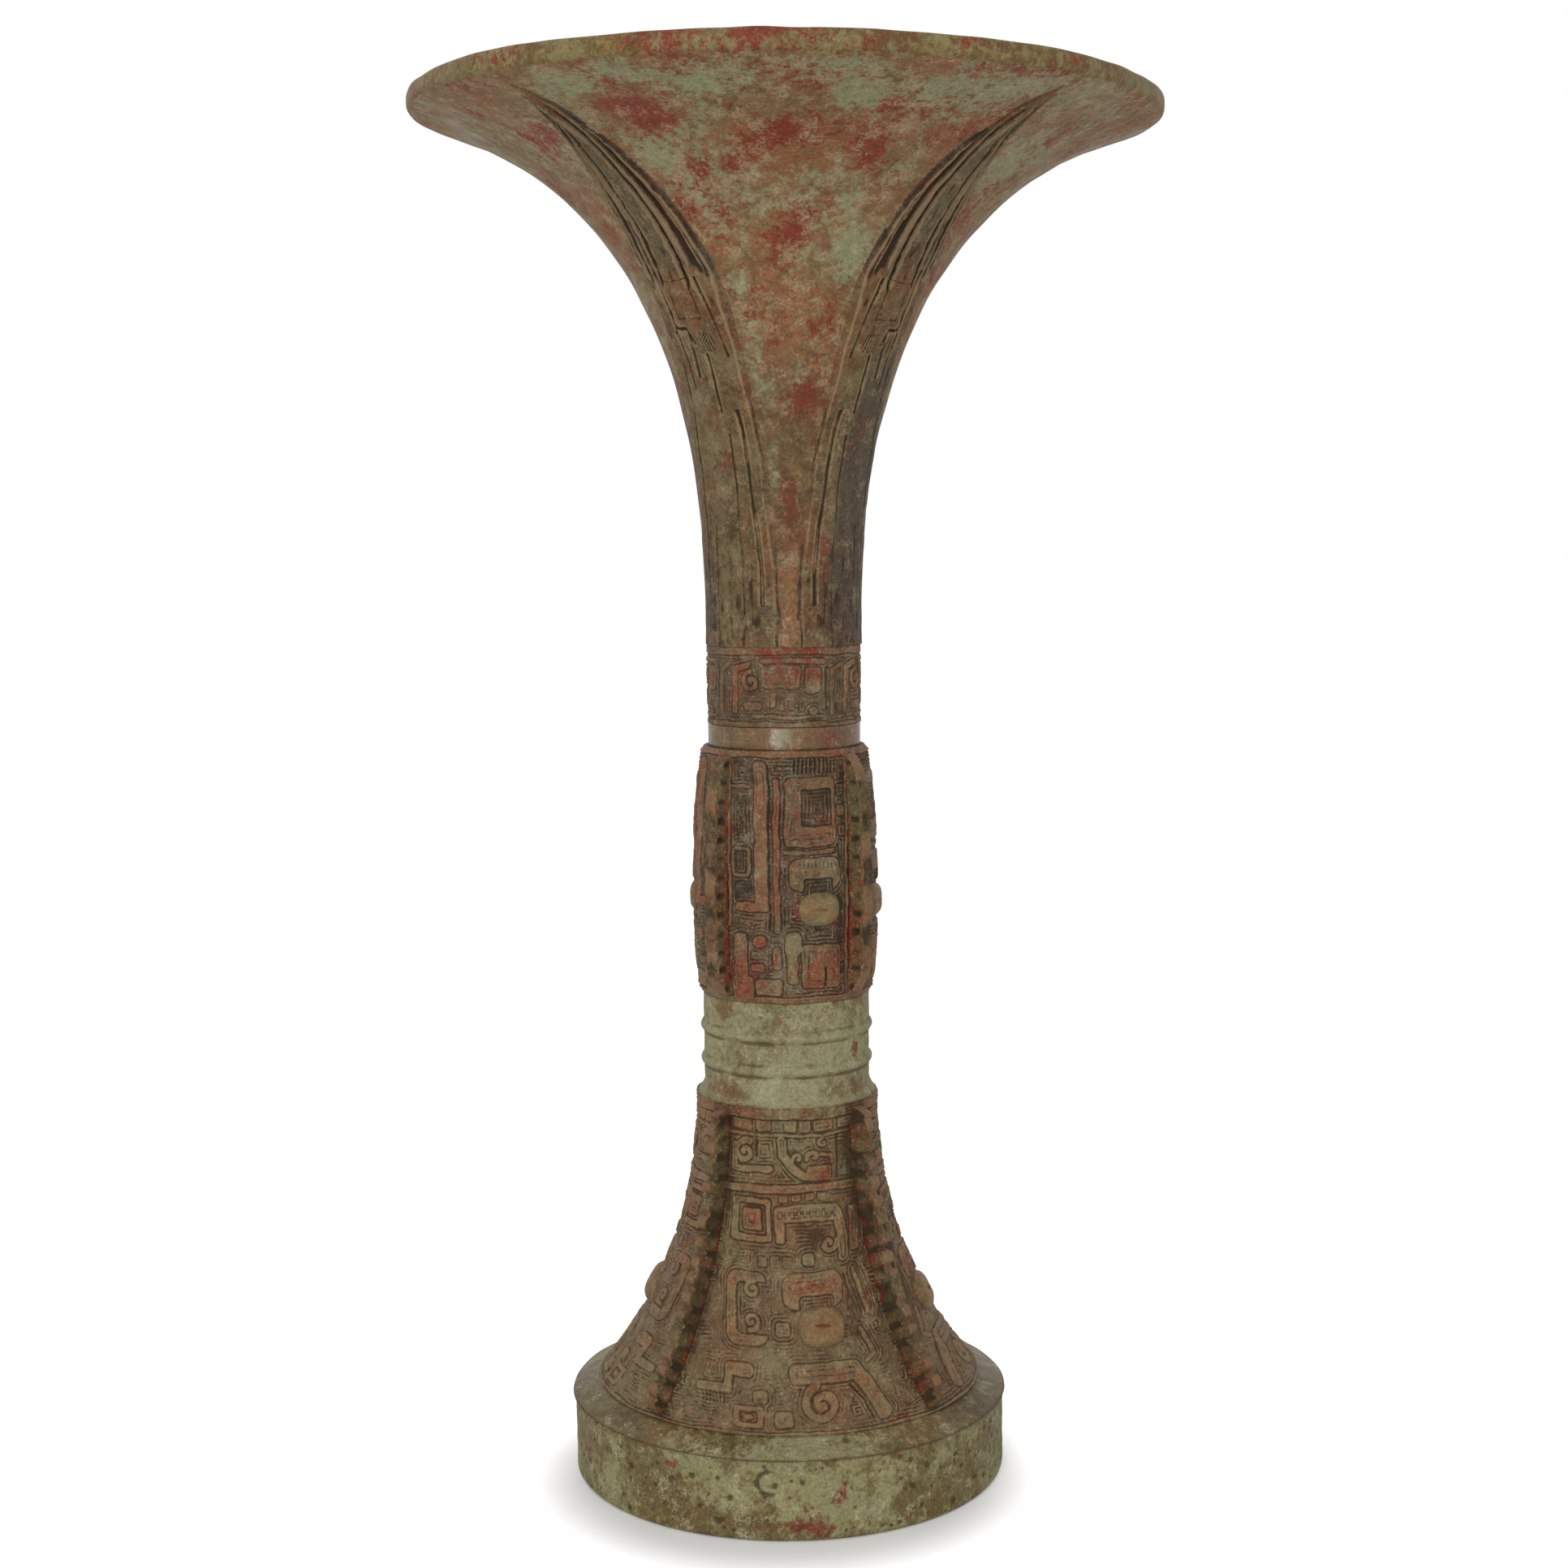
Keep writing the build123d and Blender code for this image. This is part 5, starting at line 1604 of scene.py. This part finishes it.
# Painted shade and dark patina on the stems: these patches, and the leaf's darker inner lanes, take the
# darker tones below, strongest on the front right stem, which is turned from the key lamp.
dark_and_shaded_stems = {
    "front_left": [(-7, 12, 5, 12, 0.9)],
    "front_right": [(-5, 36, 9, 30, 1.2), (-3, 8, 8, 12, 1.0)],
    "back_right": [(-5, 20, 6, 14, 0.5)],
    "back_left": [(-5, 20, 6, 14, 0.5)],
}
dark_leaf = leaf_part * (0.5 + 0.4 * inside(0.4 - lane, 0.12))
# The crest mask lightens the ridges as rubbed bronze and as a painted highlight along them.
blade_masks = {
    "hollow": np.clip(blade_hollow, 0, 1),
    "crest": np.clip((blade_height - blade_near) / 0.2, 0, 1),
    "warm_spots": blots(flat_x, flat_y, blade_warms),
    "red_spots": blots(flat_x, flat_y, blade_reds),
    "green_spots": blots(flat_x, flat_y, blade_greens),
}
blade_tones = {
    "Ground": tone(101, 85, 57),
    "Shade": tone(77, 61, 41),
    "Warm": tone(112, 77, 48),
    "Green": tone(113, 102, 73),
    "Red": tone(108, 60, 42),
    "Pale": tone(140, 124, 98),
    "Warm Cover": 0.36,
    "Green Cover": 0.38,
    "Red Cover": 0.24,
    "Pale Cover": 0.34,
    "Softness": 0.2,
}
blade_earth_shade_wear = {"Soil And Shade": tone(44, 34, 24), "Metal": tone(144, 124, 92), "Darkening Cover": 0.9, "Wear": 0.65}
shaded_and_dark_blade_tones = {
    **blade_tones,
    "Ground": tone(86, 71, 57),
    "Shade": tone(64, 52, 42),
    "Warm": tone(96, 67, 50),
    "Green": tone(84, 77, 63),
}
blade_bronze = bronze("blade_bronze", blade_tones, shaded_and_dark_blade_tones, blade_earth_shade_wear)
drift = np.interp(blade_up, DRIFT_RUN, DRIFT_TURNS)[:, None]
back_x = reach_out * np.linspace(1, -1, BLADE_BACKS)
blade_across = np.concatenate([flat_x, back_x], 1)
blade_plain = np.zeros(back_x.shape)
blade_height[:, [0, -1]] = -BLADE_EDGE_SINK
for side, degrees in BLADE_TURNS.items():
    hand = -1 if side in MIRRORED_BLADES else 1
    rise = np.concatenate([blade_height[:, ::hand], blade_plain - BLADE_SINK], 1)
    dark = blots(flat_x, flat_y, dark_and_shaded_stems[side]) + dark_leaf
    masks = {**blade_masks, "relief": np.clip(1 - dark, 0, 1)}
    masks = {label: np.concatenate([mask[:, ::hand], blade_plain], 1) for label, mask in masks.items()}
    angle = np.radians(degrees + drift) + blade_across / blade_wall[:, :1]
    points = leaned(turned(blade_wall, angle, rise, blade_side))
    blade = grid_piece("trumpet_blade_" + side, points, blade_bronze, False, True, masks)
    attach(blade, "root")
    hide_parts("trumpet")


# Flanges
# Eight notched ridges of dark bronze, four on the waist and four on the foot, each cast apart and
# tenoned into the wall at the mould's seams. The waist's have rounded ends and notched sides under a
# whole outer strip; the foot's are notched through the edge. Edges are rubbed, notches hold earth,
# and shade is painted at the root of each flange and over its side faces.

FLANGE_HALF = 1.6
FLANGE_PROUD = {"waist": 4.4, "foot": 5.1}
FLANGE_ROOT = -0.9
FLANGE_INSET = 1.0
FLANGE_STEP = 0.13
NOTCH_COUNT = {"waist": 13, "foot": 16}
NOTCH_HALF = {"waist": 0.5, "foot": 0.75}
NOTCH_DEPTH = {"waist": 0.25, "foot": 1.8}
SIDE_DEPTH = {"waist": 0.6, "foot": 0.15}
EDGE_TAPER = {"waist": 0.95, "foot": 0.75}
END_ROUND = {"waist": 6.5, "foot": 1.6}


def swung(out, across, level, degrees):
    """Grid of points that lie out from the vessel's axis, across and up, swung round to the degrees."""
    turn = math.radians(degrees)
    east = out * math.sin(turn) + across * math.cos(turn)
    north = -out * math.cos(turn) + across * math.sin(turn)
    return np.stack([east, north, level], 2)


flange_tones = {
    "Ground": tone(104, 84, 58),
    "Shade": tone(82, 65, 45),
    "Warm": tone(114, 80, 54),
    "Green": tone(94, 87, 58),
    "Red": tone(122, 56, 38),
    "Pale": tone(138, 120, 92),
    "Warm Cover": 0.4,
    "Green Cover": 0.38,
    "Red Cover": 0.24,
    "Pale Cover": 0.34,
    "Softness": 0.16,
    "Glint": 0.3,
}
flange_earth_shade_wear = {"Soil And Shade": tone(46, 36, 25), "Metal": tone(128, 101, 74), "Darkening Cover": 0.85, "Wear": 0.6}
flange_bronze = bronze("flange_bronze", flange_tones, earth_shade_settings=flange_earth_shade_wear)
left_share = np.array([0, 0.2, 0.32, 0.46, 0.6, 0.74, 0.86, 0.93, 0.97, 0.99, 1.0])
left_across = np.array([-1, -1, -1, -1, -1, -1, -1, -0.97, -0.9, -0.78, -0.4])
flange_share = np.concatenate([left_share, [1.0], left_share[::-1]])
flange_across = np.concatenate([left_across, [0], -left_across[::-1]]) * FLANGE_HALF
pocket = inside(np.abs(flange_share - 0.58) - 0.2, 0.16)
side_face = inside(np.abs(flange_share - 0.6) - 0.34, 0.1)
strip = (flange_share > 0.95).astype(float)
for kind, wall, run in (("waist", waist_wall, waist_up), ("foot", flare_wall, flare_up)):
    length = run[-1] - 2 * FLANGE_INSET
    station = np.linspace(FLANGE_INSET, run[-1] - FLANGE_INSET, round(length / FLANGE_STEP))
    line = line_at(run, wall, station)
    normal = outward(line, False)
    pitch = length / NOTCH_COUNT[kind]
    from_end = np.minimum(station - FLANGE_INSET, run[-1] - FLANGE_INSET - station)
    ends = np.clip(from_end / END_ROUND[kind], 0, 1) ** 0.5
    taper = 1 - (1 - EDGE_TAPER[kind]) * np.clip(flange_share, 0, 1) ** 2
    for side, degrees in BLADE_TURNS.items():
        slipped = station + 0.12 * wander((station,), 9, degrees) - FLANGE_INSET
        tooth = np.floor(slipped / pitch)
        from_notch = np.abs(slipped / pitch - tooth - 0.5) * pitch
        uneven = np.clip(0.9 + 0.3 * wander((tooth,), 2.5, degrees + 3), 0.5, 1.15)
        notch = inside(from_notch - NOTCH_HALF[kind], 1.5) * uneven
        worn = 0.12 * wander((station,), 7, degrees + 1) + 0.06 * wander((station,), 2, degrees + 2)
        proud = (FLANGE_PROUD[kind] + worn) * ends - NOTCH_DEPTH[kind] * notch * (ends > 0.9)
        rise = FLANGE_ROOT + (proud[:, None] - FLANGE_ROOT) * flange_share
        out = line[:, :1] + normal[:, :1] * rise
        level = line[:, 1:] + normal[:, 1:] * rise
        in_notch = notch[:, None]
        sunk = SIDE_DEPTH[kind] * in_notch * pocket
        across = np.sign(flange_across) * (np.abs(flange_across) * taper - sunk) + 0 * out
        patchy = np.clip(0.36 + 0.14 * wander((station,), 9, degrees + 4), 0.1, 0.7)[:, None]
        rubbed = np.clip(0.55 + 0.4 * wander((station,), 7, degrees + 5), 0, 1)[:, None]
        # Painted shade at the root and over the side faces, besides the earth in the notches.
        if kind == "waist":
            hollow = 0.9 * in_notch * pocket + 0.16 * side_face + strip * (0.7 - 0.6 * rubbed)
        else:
            hollow = in_notch * (0.3 + 0.3 * (flange_share < 0.96)) + patchy * side_face
        masks = {
            "hollow": np.clip(hollow + 0.5 * (flange_share < 0.3), 0, 1),
            "crest": strip * (1 - 0.6 * in_notch) * (0.3 + 0.6 * rubbed),
            "red_spots": 0.3 * (flange_share < 0.34) + 0.1 * patchy * side_face,
            "warm_spots": 0.24 * strip * rubbed,
            "green_spots": 0.06 * side_face + strip * (0.14 - 0.28 * rubbed),
        }
        points = swung(out, across, level, degrees)
        name = kind + "_flange_" + side
        flange = grid_piece(name + "_ridge", points, flange_bronze, False, True, masks)
        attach(flange, "root")
        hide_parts(name)


# Eyes
# Eight raised eyes of the masks, cast apart as rounded bosses with a slit pupil and pegged into the
# wall. They stand proudest of all the relief, so they are rubbed smooth. Red stays in the slits of
# the foot's eyes, and less of it in the waist's.

EYE_RINGS = 40
EYE_COLUMNS = 96
EYE_SINK = 0.9
EYE_SQUARE = 2.6
EYE_EDGE = 3.2
EYE_CROWN = 0.6
EYE_SIZE = {"waist": (9.2, 7.4), "foot": (10.2, 9.0)}
EYE_PROUD = {"waist": 1.7, "foot": 2.1}
EYE_TURN = {"waist": 18.7, "foot": 11.1}
EYE_UP = {"waist": 0.377, "foot": 0.327}
SLIT_MARKS = [(-1.5, 0.1), (1.4, -0.1)]
SLIT_HALF = 0.22
SLIT_DEPTH = 0.3
SLIT_RED = {"waist": 0.4, "foot": 1.0}

eye_tones = {
    "Ground": tone(122, 106, 76),
    "Shade": tone(104, 88, 62),
    "Warm": tone(126, 94, 60),
    "Green": tone(122, 112, 82),
    "Red": tone(116, 70, 48),
    "Pale": tone(140, 126, 98),
    "Warm Cover": 0.36,
    "Green Cover": 0.4,
    "Red Cover": 0.22,
    "Pale Cover": 0.3,
}
eye_soil = {"Soil And Shade": tone(104, 58, 40), "Metal": tone(130, 110, 78), "Darkening Cover": 0.7, "Wear": 0.35}
eye_bronze = bronze("eye_bronze", eye_tones, earth_shade_settings=eye_soil, rough=(0.44, 0.6))
eye_ring = np.concatenate([np.linspace(0.02, 1, EYE_RINGS), [1.0]])[:, None]
eye_turn = full_turn(EYE_COLUMNS)
eye_dome = np.clip(1 - eye_ring ** EYE_EDGE, 0, 1) ** EYE_CROWN
eye_reach = np.abs(np.cos(eye_turn)) ** EYE_SQUARE + np.abs(np.sin(eye_turn)) ** EYE_SQUARE
eye_reach = eye_ring * eye_reach ** (-1 / EYE_SQUARE)
for kind, wall, run in (("waist", waist_wall, waist_up), ("foot", flare_wall, flare_up)):
    wide, tall = EYE_SIZE[kind]
    middle = run[-1] * EYE_UP[kind]
    seat = line_at(run, wall, middle)
    normal = line_at(run, outward(wall, False), middle)
    u = wide / 2 * eye_reach * np.cos(eye_turn)
    v = tall / 2 * eye_reach * np.sin(eye_turn)
    slit = inside(stroke(u, v, SLIT_MARKS, SLIT_HALF), 0.36)
    lift = EYE_PROUD[kind] * eye_dome - SLIT_DEPTH * slit + 0.05 * wander((u, v), 3, 91)
    lift[-1] = -EYE_SINK
    out = seat[0] + normal[0] * lift - normal[1] * v
    level = seat[1] + normal[1] * lift + normal[0] * v
    masks = {
        "hollow": SLIT_RED[kind] * slit,
        "crest": np.clip(eye_dome - 0.5, 0, 1) * (1 - slit),
        "warm_spots": 0.4 * close_to(u, 0, 3.2) * close_to(v, 0, 2.6),
        "red_spots": 0.3 * SLIT_RED[kind] * close_to(u, 0, 2.4) * close_to(v, 0, 1.1),
    }
    masks = {label: mask[::-1] for label, mask in masks.items()}
    for side, degrees in PANEL_TURNS.items():
        hand = -1 if side in MIRRORED_PANELS else 1
        points = swung(out, u, level, degrees + hand * EYE_TURN[kind])[::-1]
        name = kind + "_eye_" + side
        eye = grid_piece(name + "_boss", points, eye_bronze, False, True, masks)
        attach(eye, "root")
        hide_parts(name)


# Studio
# A pale floor in a white surround that lights all round. The floor glows for the camera, less near
# the foot and least in front of it, so a soft shadow is painted round the foot as well as cast. A large
# lamp stands high at the front left, a small one low in front, and the camera is where the
# photograph was taken from.

FLOOR_REACH = 6.0
FLOOR_GREY = (0.86, 0.86, 0.86, 1.0)
FLOOR_GLOW_PAINTING_SHADOW = (0.05, 0.62)
PAINTED_SHADOW_CENTRE = (-0.002, -0.012, 0)
PAINTED_SHADOW_REACH = (0.040, 0.062)
SURROUND_LIGHT = 0.7
KEY_PLACE = (-0.36, -1.3, 0.95)
KEY_AIM = 0.15
KEY_SIZE = 0.55
KEY_POWER = 5.2
FILL_PLACE = (-0.25, -1.2, 0.08)
FILL_AIM = 0.2
FILL_SIZE = 0.26
FILL_POWER = 2.8
IMAGE_SIZE = 1932
FOCUS_PIXELS = 3023
SENSOR = 36.0
CAMERA_TURN = -2.5
CAMERA_REACH = 0.5373
CAMERA_HEIGHT = 0.2111
CAMERA_PITCH = 6.15
CAMERA_ROLL = -0.436
CENTRE_PIXEL = 966.8

floor_mesh = bpy.data.meshes.new("studio_floor")
corner_ways = ((-1, -1), (1, -1), (1, 1), (-1, 1))
floor_corners = [(FLOOR_REACH * east, FLOOR_REACH * north, 0) for east, north in corner_ways]
floor_mesh.from_pydata(floor_corners, [], [(0, 1, 2, 3)])
floor = bpy.data.objects.new("studio_floor", floor_mesh)
bpy.context.scene.collection.objects.link(floor)
floor_paint = bpy.data.materials.new("studio_floor_paint")
floor_paint.use_nodes = True
floor_tree = floor_paint.node_tree
floor_tree.nodes.remove(floor_tree.nodes["Principled BSDF"])
matt = shade_node(floor_tree, "BsdfDiffuse", {"Color": FLOOR_GREY})
seen = shade_node(floor_tree, "LightPath", {}).outputs["Is Camera Ray"]
floor_place = shade_node(floor_tree, "TexCoord", {}).outputs["Object"]
# Painted shadow: the floor's glow fades towards the foot, round a centre set a little in front of it.
from_foot = shade_node(floor_tree, "VectorMath", {0: floor_place, 1: PAINTED_SHADOW_CENTRE}, operation="DISTANCE")
glow_painting_shadow = ramp(floor_tree, from_foot.outputs["Value"], *PAINTED_SHADOW_REACH, *FLOOR_GLOW_PAINTING_SHADOW)
glow_with_painted_shadow = shade_node(floor_tree, "Emission", {"Strength": combine(floor_tree, "MULTIPLY", seen, glow_painting_shadow)})
lit = shade_node(floor_tree, "AddShader", {0: matt.outputs[0], 1: glow_with_painted_shadow.outputs[0]})
floor_tree.links.new(lit.outputs[0], floor_tree.nodes["Material Output"].inputs["Surface"])
floor_mesh.materials.append(floor_paint)

surround = bpy.data.worlds.new("studio_surround")
bpy.context.scene.world = surround
surround.use_nodes = True
sky = surround.node_tree
path = shade_node(sky, "LightPath", {})
shown = combine(sky, "MAXIMUM", path.outputs["Is Camera Ray"], path.outputs["Is Glossy Ray"])
shown = combine(sky, "MAXIMUM", shown, path.outputs["Is Transmission Ray"])
backdrop = sky.nodes["Background"]
backdrop.inputs["Color"].default_value = (1, 1, 1, 1)
sky.links.new(ramp(sky, shown, 0, 1, SURROUND_LIGHT, 1.0, "LINEAR"), backdrop.inputs["Strength"])

for name, lamp_place, aim_height, size, power in (
    ("studio_key", KEY_PLACE, KEY_AIM, KEY_SIZE, KEY_POWER),
    ("studio_fill", FILL_PLACE, FILL_AIM, FILL_SIZE, FILL_POWER),
):
    light = bpy.data.lights.new(name, "AREA")
    light.shape = "DISK"
    light.size = size
    light.energy = power
    lamp = bpy.data.objects.new(name, light)
    bpy.context.scene.collection.objects.link(lamp)
    lamp.location = lamp_place
    aim = Vector((0, 0, aim_height)) - Vector(lamp_place)
    lamp.rotation_euler = aim.to_track_quat("-Z", "Y").to_euler()

lens = bpy.data.cameras.new("photo_camera")
lens.sensor_width = SENSOR
lens.lens = FOCUS_PIXELS / IMAGE_SIZE * SENSOR
lens.shift_x = (IMAGE_SIZE / 2 - CENTRE_PIXEL) / IMAGE_SIZE
lens.clip_start = 0.01
camera = bpy.data.objects.new("photo_camera", lens)
bpy.context.scene.collection.objects.link(camera)
side_turn = math.radians(CAMERA_TURN)
camera.location = (CAMERA_REACH * math.sin(side_turn), -CAMERA_REACH * math.cos(side_turn), CAMERA_HEIGHT)
level_turn = Matrix.Rotation(side_turn, 4, "Z")
tilt = Matrix.Rotation(math.radians(90 - CAMERA_PITCH), 4, "X")
roll = Matrix.Rotation(math.radians(CAMERA_ROLL), 4, "Z")
camera.rotation_euler = (level_turn @ tilt @ roll).to_euler()
bpy.context.scene.camera = camera
bpy.context.scene.view_settings.view_transform = "Standard"
